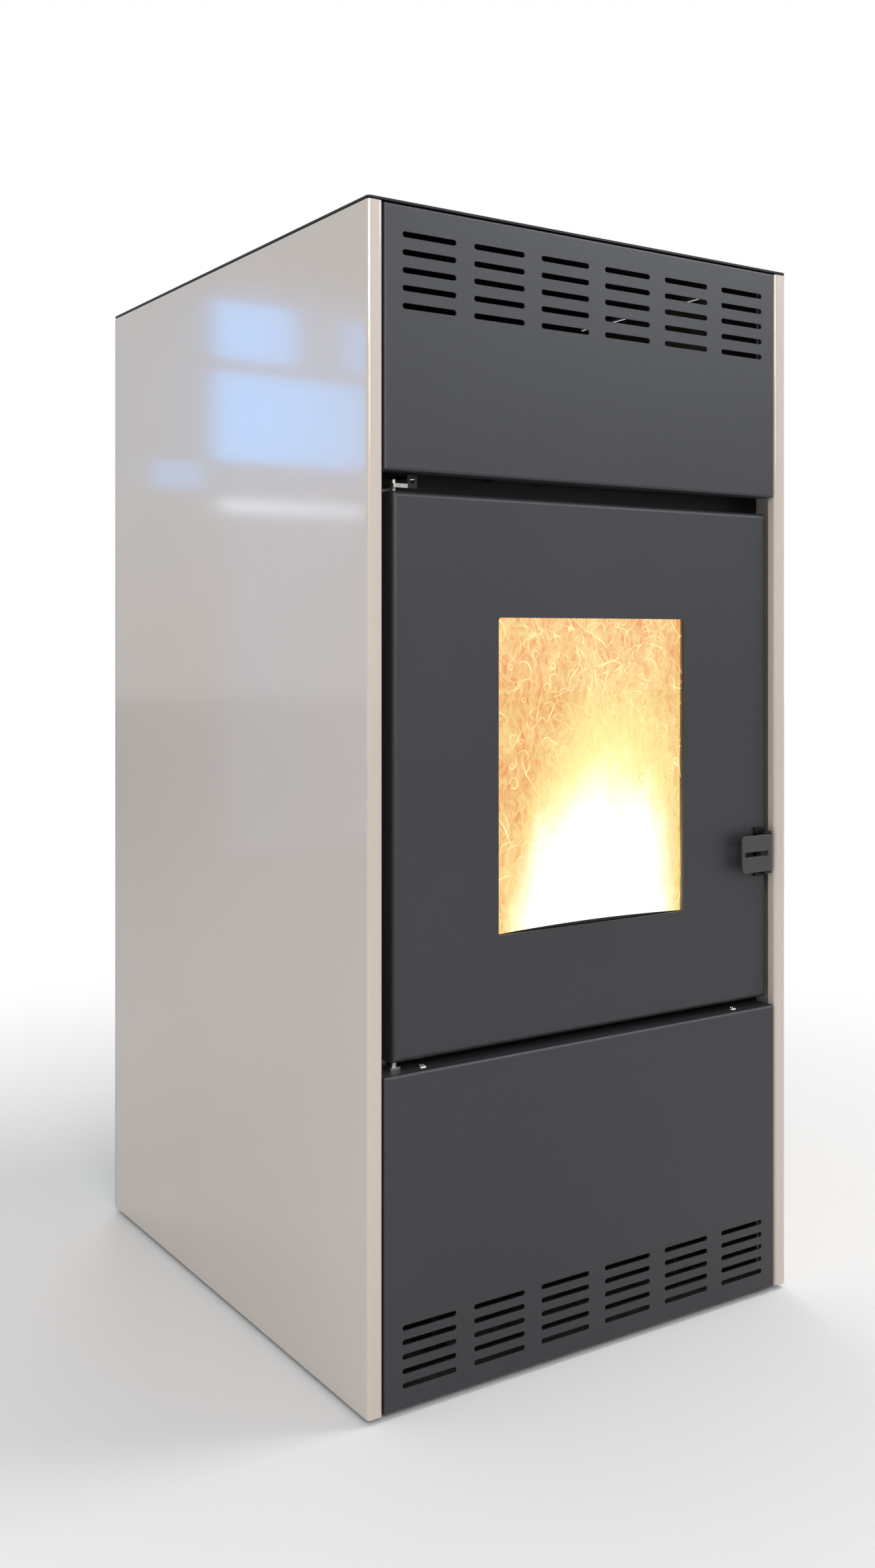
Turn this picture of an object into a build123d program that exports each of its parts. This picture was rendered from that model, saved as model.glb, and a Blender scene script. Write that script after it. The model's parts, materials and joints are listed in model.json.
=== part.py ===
from build123d import *
import os
from math import cos, radians, sin

os.makedirs("parts", exist_ok=True)

# Pellet stove, in millimetres. X runs to the right seen from the front, Y to the back, Z up.
# The origin is on the floor under the middle of the whole outline.

# ---- casing ----
casing_width = 500.0
casing_depth = 580.0
casing_height = 1040.0
ground_gap = 5.0  # the casing's lower edge above the floor
stub_reach = 46.0  # exhaust and air stubs behind the rear panel
grip_proud = 4.0  # the latch's grip in front of the casing
panel_sheet = 1.5
flange_width = 15.0  # the side panels' strips at the front
flange_return = 10.0
rear_flange = 12.0
side_bend = 3.5
rear_screw_rows = 4
rear_screw_foot = 60.0  # the lowest rear screw above the casing's lower edge
rear_screw_drop = 80.0  # the highest one below the casing's top
cover_sheet = 2.0
cover_line = 1.0  # dark line under the top cover
fit_gap = 0.3  # pieces that stand close without touching

# ---- front frame ----
frame_back = 40.0  # the frame's face behind the casing's front
frame_sheet = 2.0
frame_flange = 20.0
upper_cutout_drop = 12.0  # below the casing's top
upper_cutout_height = 98.0
lower_cutout_low = 10.0
lower_cutout_high = 50.0
cutout_width = 400.0
shelf_width = 400.0
shelf_sheet = 2.0

# ---- front panels ----
panel_gap = 1.5  # beside the upper and lower panels
panel_fold = 20.0
panel_bend = 2.5
upper_panel_gap = 16.0  # above the door
upper_panel_line = 1.0  # under the top cover
lower_panel_gap = 7.0  # below the door
slot_columns = 6
slot_rows = 5
slot_margin = 25.0  # from the casing's side to the slots' field
slot_web = 19.0  # between two slots of a row
upper_slot_height = 5.2
upper_slot_drop = 28.5  # the top row below the casing's top
upper_row_pitch = 15.4
lower_slot_height = 4.8
lower_slot_top = 70.0
lower_row_pitch = 12.4
screw_radius = 2.1
screw_head = 4.2
screw_head_height = 1.6
screw_spread = 374.0  # between the two screws on the lower panel's flange
screw_back = 13.0

# ---- door ----
door_left_gap = 31.5  # from the casing's side
door_right_gap = 17.5
door_low = 295.0
door_drop = 248.0  # the door's top below the casing's
door_recess = 10.0
door_depth = 25.0
door_sheet = 2.5
door_bend = 5.0
left_stile = 112.0
right_stile = 114.0
bottom_rail = 99.5
top_rail = 109.5
window_corner = 3.0
glass_lap = 12.0
glass_thickness = 4.0
gasket_space = 1.2  # between the door skin and the glass
gasket_width = 9.0
retainer_lap = 14.0
retainer_width = 18.0
retainer_sheet = 2.5
inner_plate_back = 17.0  # the inner plate behind the skin's face
inner_plate_sheet = 2.0
inner_plate_margin = 10.0  # round the glass retainer
rope_width = 10.0
rope_lap = 10.0  # the rope's inner edge outside the fire opening

# ---- hinges and latch ----
hinge_inset = 5.5
hinge_setback = 9.0
pin_radius = 2.25
running_gap = 0.05
bush_height = 10.5
bush_length = 11.5
hinge_plate_width = 14.5
hinge_plate_sheet = 3.5
hinge_plate_gap = 2.5  # above the door
lower_plate_sheet = 2.7
lower_plate_margin = 1.5  # round the pin's shoulder
hinge_leaf = 9.0
leaf_sheet = 2.0
shoulder_radius = 2.8
clip_width = 10.0
clip_sheet = 2.0
clip_back = 12.0
latch_inset = 8.0  # from the door's right edge
latch_back = 3.5
latch_rise = 132.0  # above the door's lower edge
latch_height = 37.0
latch_eye = 7.5
grip_length = 39.5
grip_sheet = 3.0
grip_corner = 4.0
grip_edge = 0.6  # rounding of the grip's front edges
tool_slot_height = 5.0
tool_slot_end = 3.5
latch_arm = 3.5
hook_reach = 8.5
hook_back = 47.0
hook_length = 6.0
ear_sheet = 2.5
ear_length = 11.0
ear_gap = 0.4
pad_height = 6.0
notch_width = 18.5
catch_gap = 2.7  # beside the door
catch_sheet = 3.0
catch_margin = 3.0
latch_hole_width = 45.0
latch_slot_width = 30.0

# ---- firebox ----
firebox_half = 166.0
firebox_rise = 23.0  # above the door's lower edge
firebox_crown = 55.0  # above the exchanger tubes' middle
firebox_wall = 4.0
machine_depth = 248.0  # room behind the firebox
fire_opening_side = 16.0
fire_opening_drop = 62.0  # below the door's top
liner_thickness = 20.0
liner_drop = 54.0  # below the exchanger tubes' middle
baffle_thickness = 4.0
baffle_front_gap = 60.0
support_sheet = 3.0
support_inset = 16.0
support_foot = 20.0
support_end = 50.0

# ---- burning ----
holder_half = 94.0
holder_rise = 52.0  # above the firebox's lower face
holder_height = 46.0
holder_depth = 192.0
holder_wall = 3.0
pot_reach = 121.0  # the pot's middle in front of the firebox's rear face
pot_half = 50.0
pot_rim = 6.0
pot_rim_height = 4.0
pot_wall = 5.0
pot_depth = 38.0
pot_gap = 0.6
pot_hole_radius = 2.5
drawer_side = 46.0
drawer_front = 66.0
drawer_end = 51.0  # in front of the firebox's rear face
drawer_height = 42.0
drawer_wall = 1.5
drawer_tab = 10.0
drawer_tab_half = 30.0
igniter_radius = 5.0
igniter_length = 105.0
igniter_nut = 9.0

# ---- air and smoke ----
tube_count = 6
tube_pitch = 50.0
tube_radius = 18.0
tube_wall = 2.0
tube_drop = 200.0  # the tubes' middle below the casing's top
duct_sheet = 1.5
duct_depth = 45.0
trunk_left = -185.0
trunk_width = 110.0
trunk_low = 200.0
header_below = 35.0  # from the tubes' middle
header_above = 36.0
header_half = 160.0
blower_low = 85.0
blower_depth = 129.0
blower_reach = 79.0  # the blower's shaft behind the firebox
blower_axis_height = 130.0
blower_rotor = 32.0
blower_end_gap = 3.0
blower_blades = 16
blower_blade = 1.2
blower_root = 20.0
blower_disc = 2.0
blower_motor_radius = 28.0
blower_motor_length = 27.0
fan_shaft = 3.0
flue_left = -50.0
flue_right = 58.0
flue_low = 100.0
flue_top = 48.0  # above the firebox's lower face
flue_depth = 139.0
flue_wall = 2.5
flue_slot_rise = 7.0
flue_slot_height = 37.0
smoke_reach = 84.0  # the smoke fan's shaft behind the firebox
smoke_axis_height = 165.0
smoke_radius = 70.0
smoke_width = 54.0
smoke_wall = 2.0
smoke_inlet = 32.0
smoke_rotor = 58.0
smoke_rotor_width = 34.0
smoke_blades = 8
smoke_hub = 14.0
smoke_motor_radius = 32.0
smoke_motor_length = 52.0
outlet_low = 97.0
outlet_height = 66.0
outlet_reach = 194.0
stub_radius = 40.0
stub_wall = 1.5
stub_flange = 100.0
stub_flange_sheet = 3.0
intake_x = 70.0
intake_radius = 25.0
bead_width = 3.0
bead_height = 3.0
bead_back = 5.0

# ---- pellets ----
hopper_half = 200.0
hopper_reach = 49.0  # behind the firebox
hopper_rear_gap = 14.0  # between the hopper and the casing's rear
hopper_sheet = 1.5
hopper_knee = 730.0
hopper_throat = 600.0
throat_half = 25.0
throat_reach = 114.0
throat_length = 64.0
mouth_wall = 3.0
mouth_low = 495.0
auger_x = 6.0
auger_bore = 27.0
auger_wall = 3.0
auger_reach = 161.0
auger_low_height = 448.0
auger_length = 190.0
auger_slope = 45.0
auger_radius = 25.0
auger_core = 8.0
auger_pitch = 38.0
auger_blade = 3.0
auger_end_gap = 6.0
gear_half = 33.0
gear_length = 40.0
gear_motor_radius = 27.0
gear_motor_length = 36.0
chute_half = 25.0
chute_wall = 2.0
chute_slope = 50.0
chute_length = 112.0
chute_reach = 41.0
chute_height = 572.0
grille_bar = 3.0
grille_pitch = 30.0
grille_rim = 10.0

# ---- lid ----
lid_opening_half = 184.5
lid_opening_inset = 10.0  # inside the hopper's front and rear walls
collar_sheet = 1.5
collar_height = 8.0
lid_margin = 7.5
lid_sheet = 2.0
lid_skirt = 12.0
lid_lift = 2.0
seal_width = 8.0
lid_hinge_spread = 280.0
lid_hinge_gap = 7.0
lid_pin_radius = 2.0
lug_width = 12.0
lug_radius = 4.0
ear_width = 6.0
knob_inset = 25.0
knob_radius = 12.0
knob_neck = 7.0
knob_height = 16.0

# ---- controls ----
control_x = 150.0
control_lead = 91.0  # in front of the hopper's opening
control_width = 120.0
control_depth = 64.0
control_bezel = 2.5
control_box_height = 24.0
control_box_inset = 7.0
control_wall = 2.0
display_width = 60.0
display_depth = 20.0
display_shift = 12.0
display_thickness = 1.4
button_radius = 5.0
button_flange = 1.5
button_proud = 1.5
button_travel = 1.2
board_drop = 12.0  # the board's top below the bezel
board_thickness = 1.6
button_pitch = 24.0
button_shift = -16.0
unit_inset = 70.0  # from the casing's side
unit_half = 50.0
unit_low = 330.0
unit_height = 150.0
unit_depth = 37.0

# ---- rear panel and base ----
base_sheet = 2.0
base_turn = 30.0
base_overlap = 10.0  # the lower panel's bottom fold under the base plate
base_corner = 4.0
foot_radius = 18.0
foot_stem = 4.0
foot_stem_length = 32.0
foot_nut = 7.5  # corner radius
foot_nut_height = 6.5
foot_inset_x = 45.0
foot_inset_y = 60.0
inlet_x = 185.0
inlet_low = 50.0
inlet_width = 32.0
inlet_height = 62.0
inlet_flange = 2.0
inlet_body = 26.0
socket_width = 24.5
socket_height = 16.5
socket_depth = 17.0
contact_length = 10.0
rocker_radius = 8.0
rocker_width = 13.0
rocker_tilt = 8.0
rocker_cut = 5.0
rocker_gap = 0.1
cap_x = -200.0
cap_height = 120.0
cap_radius = 8.0
cap_length = 10.0
rear_hole_gap = 2.0
vent_rows = 5
vent_length = 90.0
vent_width = 6.0
vent_pitch = 16.0
vent_middle = 120.0

# ---- places worked out from the sizes above ----
overall_depth = casing_depth + stub_reach + grip_proud
front_y = -overall_depth / 2 + grip_proud
rear_y = front_y + casing_depth
half_width = casing_width / 2
inner_half = half_width - panel_sheet
door_left = door_left_gap - half_width
door_right = half_width - door_right_gap
door_high = casing_height - door_drop
window_low = door_low + bottom_rail
window_high = door_high - top_rail
window_left = door_left + left_stile
window_right = door_right - right_stile
upper_panel_low = door_high + upper_panel_gap
lower_panel_high = door_low - lower_panel_gap
slot_pitch = (casing_width - 2 * slot_margin) / slot_columns
tube_height = casing_height - tube_drop
firebox_x = (window_left + window_right) / 2
firebox_low = door_low + firebox_rise
firebox_high = tube_height + firebox_crown
firebox_back = casing_depth - machine_depth
holder_low = firebox_low + holder_rise
holder_high = holder_low + holder_height
intake_height = (holder_low + holder_high) / 2


def deep(distance):
    """A place so far behind the casing's front."""
    return front_y + distance


def up(height):
    """A height above the casing's lower edge."""
    return ground_gap + height


def around(middle, half):
    """The (low, high) pair that lies evenly about middle."""
    return (middle - half, middle + half)


def inside(pair, wall):
    """A (low, high) pair drawn in by a wall at both ends."""
    return (pair[0] + wall, pair[1] - wall)


def block(x, y, z, mode=Mode.ADD):
    """Adds a box that spans three (low, high) pairs."""
    with Locations((sum(x) / 2, sum(y) / 2, sum(z) / 2)):
        Box(x[1] - x[0], y[1] - y[0], z[1] - z[0], mode=mode)


def rod(start, direction, radius, length, mode=Mode.ADD):
    """Adds a round bar that runs from start along direction."""
    with Locations(Plane(origin=start, z_dir=direction)):
        Cylinder(radius, length, align=(Align.CENTER, Align.CENTER, Align.MIN), mode=mode)


def keep(piece, name):
    """Names a finished piece and writes it."""
    piece.part.label = name
    export_step(piece.part, f"parts/{name}.step")


def folded_pan(x, y, z, sheet, bend):
    """A sheet pan with its four edges folded back, its face at the front and its rear open."""
    with BuildPart() as pan:
        block(x, y, z)
        fillet(pan.faces().sort_by(Axis.Y)[0].edges(), bend)
        offset(amount=-sheet, openings=pan.faces().sort_by(Axis.Y)[-1])
    return pan.part


def ring_plate(x, z, y, width):
    """A flat picture-frame ring in the XZ directions: x and z are its outer pairs, y its faces."""
    with BuildPart() as ring:
        block(x, y, z)
        inner_x = (x[0] + width, x[1] - width)
        inner_z = (z[0] + width, z[1] - width)
        block(inner_x, y, inner_z, mode=Mode.SUBTRACT)
    return ring.part


# ======== casing ========

frame_front = deep(frame_back)
frame_rear = deep(frame_back + frame_sheet)
cover_low = up(casing_height - cover_sheet)
cover_high = up(casing_height)
side_z = (up(0), cover_low - cover_line)


def side_panel(hand):
    """A side panel: outer sheet, front flange with its return, and rear flange. hand is -1 or 1."""
    outer = hand * half_width
    rear_line = rear_y - panel_sheet
    corner_points = [
        (hand * (half_width - flange_width), front_y + flange_return),
        (hand * (half_width - flange_width), front_y),
        (outer, front_y),
        (outer, rear_line),
        (hand * (half_width - rear_flange), rear_line),
    ]
    with BuildPart() as sheet:
        with BuildSketch(Plane.XY.offset(side_z[0])):
            with BuildLine():
                FilletPolyline(*corner_points, radius=side_bend)
                offset(amount=panel_sheet, side=Side.RIGHT if hand < 0 else Side.LEFT)
            make_face()
        extrude(amount=side_z[1] - side_z[0])
    return sheet.part


screw_x = half_width - rear_flange / 2
rear_screw_pitch = (casing_height - rear_screw_foot - rear_screw_drop) / (rear_screw_rows - 1)
screw_heights = [up(rear_screw_foot + i * rear_screw_pitch) for i in range(rear_screw_rows)]
rear_screws = [(side * screw_x, height) for side in (-1, 1) for height in screw_heights]
screw_hole = screw_radius + fit_gap

left_sheet = side_panel(-1)
with BuildPart() as left_side_panel:
    add(left_sheet)
    for x, z in rear_screws:
        rod((x, rear_y - panel_sheet * 4, z), (0, 1, 0), screw_hole, panel_sheet * 4, Mode.SUBTRACT)
keep(left_side_panel, "left_side_panel")

right_sheet = side_panel(1)
with BuildPart() as right_side_panel:
    add(right_sheet)
    for x, z in rear_screws:
        rod((x, rear_y - panel_sheet * 4, z), (0, 1, 0), screw_hole, panel_sheet * 4, Mode.SUBTRACT)
keep(right_side_panel, "right_side_panel")

base_z = (up(panel_sheet), up(panel_sheet + base_sheet))
base_y = (deep(panel_fold) + fit_gap, rear_y - 2 * panel_sheet)
foot_x = half_width - foot_inset_x
foot_y = [deep(foot_inset_y), rear_y - foot_inset_y]
foot_places = [(side * foot_x, y) for side in (-1, 1) for y in foot_y]

with BuildPart() as base_plate:
    block((-inner_half, inner_half), base_y, base_z)
    chamfer(base_plate.edges().filter_by(Axis.Z), base_corner)
    for side in (-1, 1):
        edge = sorted((side * inner_half, side * (inner_half - base_sheet)))
        edge_y = (frame_rear + frame_flange, base_y[1] - base_corner)
        block(edge, edge_y, (base_z[0], base_z[0] + base_turn))
    turned_y = (base_y[1] - base_sheet, base_y[1])
    block((-foot_x, foot_x), turned_y, (base_z[0], base_z[0] + base_turn))
    # weld nuts that hold the feet
    for x, y in foot_places:
        with BuildSketch(Plane.XY.offset(base_z[1])):
            with Locations((x, y)):
                RegularPolygon(foot_nut, 6)
        extrude(amount=foot_nut_height)
        nut_height = base_sheet + foot_nut_height
        rod((x, y, base_z[0]), (0, 0, 1), foot_stem + fit_gap / 2, nut_height, Mode.SUBTRACT)
keep(base_plate, "base_plate")

with BuildPart() as levelling_feet:
    for x, y in foot_places:
        rod((x, y, 0), (0, 0, 1), foot_radius, ground_gap)
        rod((x, y, ground_gap), (0, 0, 1), foot_stem, foot_stem_length)
    fillet(levelling_feet.faces().sort_by(Axis.Z)[:4].edges(), 1)
keep(levelling_feet, "levelling_feet")

# Front frame: the black plate behind the gaps, with its shelf, clip and latch catch.
frame_z = (base_z[1], cover_low)
fire_opening_low = firebox_low + firebox_wall
fire_opening_x = around(firebox_x, firebox_half - fire_opening_side)
fire_opening_z = (up(fire_opening_low), up(door_high - fire_opening_drop))
tube_places = [firebox_x + (i - (tube_count - 1) / 2) * tube_pitch for i in range(tube_count)]
latch_low = up(door_low + latch_rise)
latch_z = (latch_low, latch_low + latch_height)
notch_z = (latch_z[0] - 1.5, latch_z[1] + 1.5)
catch_x = door_right + catch_gap
latch_hole_x = (catch_x - latch_hole_width, catch_x)
lower_panel_top = up(lower_panel_high)
shelf_top = lower_panel_top - panel_sheet
screw_y = deep(screw_back)
hinge_x = door_left + hinge_inset
hinge_y = deep(door_recess + hinge_setback)
door_bottom = up(door_low)
door_top = up(door_high)
hinge_plate_x = (door_left, door_left + hinge_plate_width)
clip_x = (hinge_plate_x[1] + 1, hinge_plate_x[1] + 1 + clip_width)
clip_top = up(upper_panel_low) - 1.7
clip_low = door_top + hinge_plate_gap
clip_screw = (sum(clip_x) / 2, deep(clip_back), clip_low + 6)
clip_screw_radius = 1.5

with BuildPart() as front_frame:
    block((-inner_half, inner_half), (frame_front, frame_rear), frame_z)
    for side in (-1, 1):
        edge = sorted((side * inner_half, side * (inner_half - frame_sheet)))
        block(edge, (frame_front, frame_front + frame_flange), frame_z)
    frame_through = (frame_front, frame_rear)
    block(fire_opening_x, frame_through, fire_opening_z, mode=Mode.SUBTRACT)
    wide = around(0, cutout_width / 2)
    upper_cutout_high = up(casing_height - upper_cutout_drop)
    upper_cutout = (upper_cutout_high - upper_cutout_height, upper_cutout_high)
    block(wide, frame_through, upper_cutout, mode=Mode.SUBTRACT)
    block(wide, frame_through, (up(lower_cutout_low), up(lower_cutout_high)), mode=Mode.SUBTRACT)
    block(latch_hole_x, frame_through, notch_z, mode=Mode.SUBTRACT)
    for x in tube_places:
        start = (x, frame_front, up(tube_height))
        rod(start, (0, 1, 0), tube_radius + fit_gap, frame_sheet, Mode.SUBTRACT)
    # shelf under the lower panel's flange
    shelf_z = (shelf_top - shelf_sheet, shelf_top)
    block(around(0, shelf_width / 2), (screw_y - 5, frame_front), shelf_z)
    for side in (-1, 1):
        start = (side * screw_spread / 2, screw_y, shelf_z[0])
        rod(start, (0, 0, 1), screw_hole, shelf_sheet, Mode.SUBTRACT)
    # clip beside the upper hinge
    block(clip_x, (deep(clip_back), frame_front), (clip_top - clip_sheet, clip_top))
    block(clip_x, (deep(clip_back), deep(clip_back) + clip_sheet), (clip_low, clip_top))
    rod(clip_screw, (0, 1, 0), clip_screw_radius + fit_gap, clip_sheet, Mode.SUBTRACT)
    # catch behind the latch's hole
    catch_z = (notch_z[0] - catch_margin, notch_z[1] + catch_margin)
    block((catch_x, inner_half - frame_sheet), (frame_rear, frame_rear + catch_sheet), catch_z)
keep(front_frame, "front_frame")

# Panel screws: two on the lower panel, one in the clip, eight in the rear panel.
with BuildPart() as panel_screws:
    for side in (-1, 1):
        place = (side * screw_spread / 2, screw_y, lower_panel_top)
        rod(place, (0, 0, 1), screw_head, screw_head_height)
        rod(place, (0, 0, -1), screw_radius, 3 * screw_head)
    rod(clip_screw, (0, -1, 0), screw_head - 1, screw_head_height)
    rod(clip_screw, (0, 1, 0), clip_screw_radius, 2 * clip_sheet)
    for x, z in rear_screws:
        rod((x, rear_y, z), (0, 1, 0), screw_head, screw_head_height)
        rod((x, rear_y, z), (0, -1, 0), screw_radius, 3 * screw_head)
    heads = panel_screws.faces().filter_by(GeomType.PLANE)
    domes = heads.filter_by(Axis.Y).sort_by(Axis.Y)[-8:] + heads.filter_by(Axis.Z).sort_by(Axis.Z)[-2:]
    fillet(domes.edges(), screw_head_height / 2)
keep(panel_screws, "panel_screws")


# ======== front panels ========

def vent_slots(top, pitch, height):
    """Cuts the panel's rows of round-ended slots through its face."""
    middle = up(top - pitch * (slot_rows - 1) / 2)
    with BuildSketch(Plane.XZ.offset(-front_y + 1)) as rows:
        with Locations((0, middle)):
            with GridLocations(slot_pitch, pitch, slot_columns, slot_rows):
                SlotOverall(slot_pitch - slot_web, height)
    extrude(rows.sketch, amount=-(panel_sheet + 2), mode=Mode.SUBTRACT)


panel_half = half_width - flange_width - panel_gap
panel_x = around(0, panel_half)
panel_y = (front_y, deep(panel_fold))
deep_fold = (deep(panel_fold) - 1, frame_front - fit_gap)
upper_panel_z = (up(upper_panel_low), cover_low - upper_panel_line)
upper_pan = folded_pan(panel_x, panel_y, upper_panel_z, panel_sheet, panel_bend)
with BuildPart() as upper_front_panel:
    add(upper_pan)
    vent_slots(casing_height - upper_slot_drop, upper_row_pitch, upper_slot_height)
    block(around(0, cutout_width / 2), deep_fold, (upper_panel_z[1] - panel_sheet, upper_panel_z[1]))
    block(around(0, cutout_width / 4), deep_fold, (upper_panel_z[0], upper_panel_z[0] + panel_sheet))
keep(upper_front_panel, "upper_front_panel")

lower_panel_z = (up(0), lower_panel_top)
lower_pan = folded_pan(panel_x, panel_y, lower_panel_z, panel_sheet, panel_bend)
with BuildPart() as lower_front_panel:
    add(lower_pan)
    vent_slots(lower_slot_top, lower_row_pitch, lower_slot_height)
    block(around(0, panel_half), deep_fold, (lower_panel_top - panel_sheet, lower_panel_top))
    under_fold = (deep(panel_fold) - 1, deep(panel_fold) + base_overlap)
    block(around(0, cutout_width / 2), under_fold, (up(0), up(panel_sheet)))
    for side in (-1, 1):
        start = (side * screw_spread / 2, screw_y, lower_panel_top - panel_sheet)
        rod(start, (0, 0, 1), screw_hole, panel_sheet, Mode.SUBTRACT)
keep(lower_front_panel, "lower_front_panel")

# ======== door ========

door_x = (door_left, door_right)
door_z = (door_bottom, door_top)
door_front = deep(door_recess)
door_y = (door_front, door_front + door_depth)
window_side = (window_left, window_right)
window_z = (up(window_low), up(window_high))
door_inside_x = (door_x[0] + door_sheet, door_x[1] - door_sheet)
door_inside_z = (door_z[0] + door_sheet, door_z[1] - door_sheet)
bush_x = (door_inside_x[0], hinge_x + bush_length / 2)
bush_y = around(hinge_y, bush_length / 2)
pin_hole = pin_radius + running_gap

door_pan = folded_pan(door_x, door_y, door_z, door_sheet, door_bend)
with BuildPart() as fire_door:
    add(door_pan)
    with BuildSketch(Plane.XZ.offset(-door_front + 1)):
        with Locations((firebox_x, sum(window_z) / 2)):
            RectangleRounded(window_right - window_left, window_high - window_low, window_corner)
    extrude(amount=-(door_sheet + 2), mode=Mode.SUBTRACT)
    # hinge bushes inside the top and bottom folds
    block(bush_x, bush_y, (door_inside_z[1] - bush_height, door_inside_z[1]))
    block(bush_x, bush_y, (door_inside_z[0], door_inside_z[0] + bush_height))
    rod((hinge_x, hinge_y, door_z[0]), (0, 0, 1), pin_hole, door_z[1] - door_z[0], Mode.SUBTRACT)
    # notch for the latch at the right edge
    skin_back = (door_front - 1, door_front + door_sheet + 1)
    block((door_x[1] - notch_width, door_x[1] + 1), skin_back, notch_z, mode=Mode.SUBTRACT)
    right_fold = (door_inside_x[1] - 1, door_x[1] + 1)
    block(right_fold, (door_y[0] - 1, door_y[1] + 1), notch_z, mode=Mode.SUBTRACT)
keep(fire_door, "fire_door")

glass_front = door_front + door_sheet + gasket_space
glass_x = (window_side[0] - glass_lap, window_side[1] + glass_lap)
glass_z = (window_z[0] - glass_lap, window_z[1] + glass_lap)
with BuildPart() as door_glass:
    block(glass_x, (glass_front, glass_front + glass_thickness), glass_z)
    fillet(door_glass.edges().filter_by(Axis.Y), window_corner)
keep(door_glass, "door_glass")

gasket_y = (door_front + door_sheet + fit_gap, glass_front - fit_gap)
gasket_ring = ring_plate(glass_x, glass_z, gasket_y, gasket_width)
with BuildPart() as glass_gasket:
    add(gasket_ring)
keep(glass_gasket, "glass_gasket")

retainer_front = glass_front + glass_thickness
retainer_x = (glass_x[0] - retainer_lap, glass_x[1] + retainer_lap)
retainer_z = (glass_z[0] - retainer_lap, glass_z[1] + retainer_lap)
retainer_y = (retainer_front, retainer_front + retainer_sheet)
retainer_ring = ring_plate(retainer_x, retainer_z, retainer_y, retainer_width)
retainer_screw_x = (retainer_x[1] - retainer_x[0]) / 2 - retainer_lap / 2
retainer_screw_z = (retainer_z[1] - retainer_z[0]) / 2 - retainer_lap / 2
retainer_middle_z = sum(retainer_z) / 2
retainer_screws = [
    (firebox_x + side * retainer_screw_x, retainer_middle_z + step * retainer_screw_z)
    for side in (-1, 1)
    for step in (-0.9, 0, 0.9)
]
with BuildPart() as glass_retainer:
    add(retainer_ring)
    for x, z in retainer_screws:
        rod((x, retainer_y[0], z), (0, 1, 0), screw_hole, retainer_sheet, Mode.SUBTRACT)
keep(glass_retainer, "glass_retainer")

with BuildPart() as glass_screws:
    for x, z in retainer_screws:
        start = (x, door_front + door_sheet, z)
        rod(start, (0, 1, 0), screw_radius, retainer_y[1] - start[1])
        rod(start, (0, 1, 0), screw_head, retainer_y[0] - start[1])
        rod((x, retainer_y[1], z), (0, 1, 0), screw_head, screw_head_height)
keep(glass_screws, "glass_screws")

inner_plate_front = door_front + inner_plate_back
inner_plate_y = (inner_plate_front, inner_plate_front + inner_plate_sheet)
inner_hole_x = (retainer_x[0] - inner_plate_margin, retainer_x[1] + inner_plate_margin)
inner_hole_z = (retainer_z[0] - inner_plate_margin, retainer_z[1] + inner_plate_margin)
with BuildPart() as door_inner_plate:
    block(door_inside_x, inner_plate_y, door_inside_z)
    block(inner_hole_x, inner_plate_y, inner_hole_z, mode=Mode.SUBTRACT)
    arm_slot = (door_inside_x[1] - latch_slot_width, door_inside_x[1])
    block(arm_slot, inner_plate_y, notch_z, mode=Mode.SUBTRACT)
keep(door_inner_plate, "door_inner_plate")

rope_y = (inner_plate_y[1] + fit_gap, frame_front - fit_gap)
rope_x = (fire_opening_x[0] - rope_lap - rope_width, fire_opening_x[1] + rope_lap + rope_width)
rope_z = (fire_opening_z[0] - rope_width - 3, fire_opening_z[1] + rope_lap + rope_width)
rope_corner = 12.0
with BuildPart() as door_rope_seal:
    with BuildSketch(Plane.XZ.offset(-rope_y[0])):
        with Locations((sum(rope_x) / 2, sum(rope_z) / 2)):
            outer = (rope_x[1] - rope_x[0], rope_z[1] - rope_z[0])
            RectangleRounded(outer[0], outer[1], rope_corner)
            inner = (outer[0] - 2 * rope_width, outer[1] - 2 * rope_width)
            RectangleRounded(inner[0], inner[1], rope_corner - rope_width, mode=Mode.SUBTRACT)
    extrude(amount=-(rope_y[1] - rope_y[0]))
keep(door_rope_seal, "door_rope_seal")

# ======== hinges ========

leaf_y = (frame_front - leaf_sheet, frame_front)
upper_plate_z = (door_top + hinge_plate_gap, door_top + hinge_plate_gap + hinge_plate_sheet)
with BuildPart() as upper_hinge:
    block(hinge_plate_x, (door_front, frame_front), upper_plate_z)
    block(hinge_plate_x, leaf_y, (upper_plate_z[0] - hinge_leaf, upper_plate_z[0]))
    pin_start = door_inside_z[1] - bush_height + 4
    rod((hinge_x, hinge_y, pin_start), (0, 0, 1), pin_radius, upper_plate_z[1] + 4 - pin_start)
keep(upper_hinge, "upper_hinge")

lower_plate_low = lower_panel_top + fit_gap
lower_plate_z = (lower_plate_low, lower_plate_low + lower_plate_sheet)
lower_plate_x = (hinge_plate_x[0], hinge_x + shoulder_radius + lower_plate_margin)
lower_plate_y = (hinge_y - shoulder_radius - lower_plate_margin, frame_front)
with BuildPart() as lower_hinge:
    block(lower_plate_x, lower_plate_y, lower_plate_z)
    block(lower_plate_x, leaf_y, (lower_plate_z[1], lower_plate_z[1] + hinge_leaf))
    pin_end = door_inside_z[0] + bush_height - 2
    rod((hinge_x, hinge_y, lower_plate_z[0]), (0, 0, 1), pin_radius, pin_end - lower_plate_z[0])
    shoulder = door_bottom - fit_gap - lower_plate_z[1]
    rod((hinge_x, hinge_y, lower_plate_z[1]), (0, 0, 1), shoulder_radius, shoulder)
keep(lower_hinge, "lower_hinge")

# ======== latch ========

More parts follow.
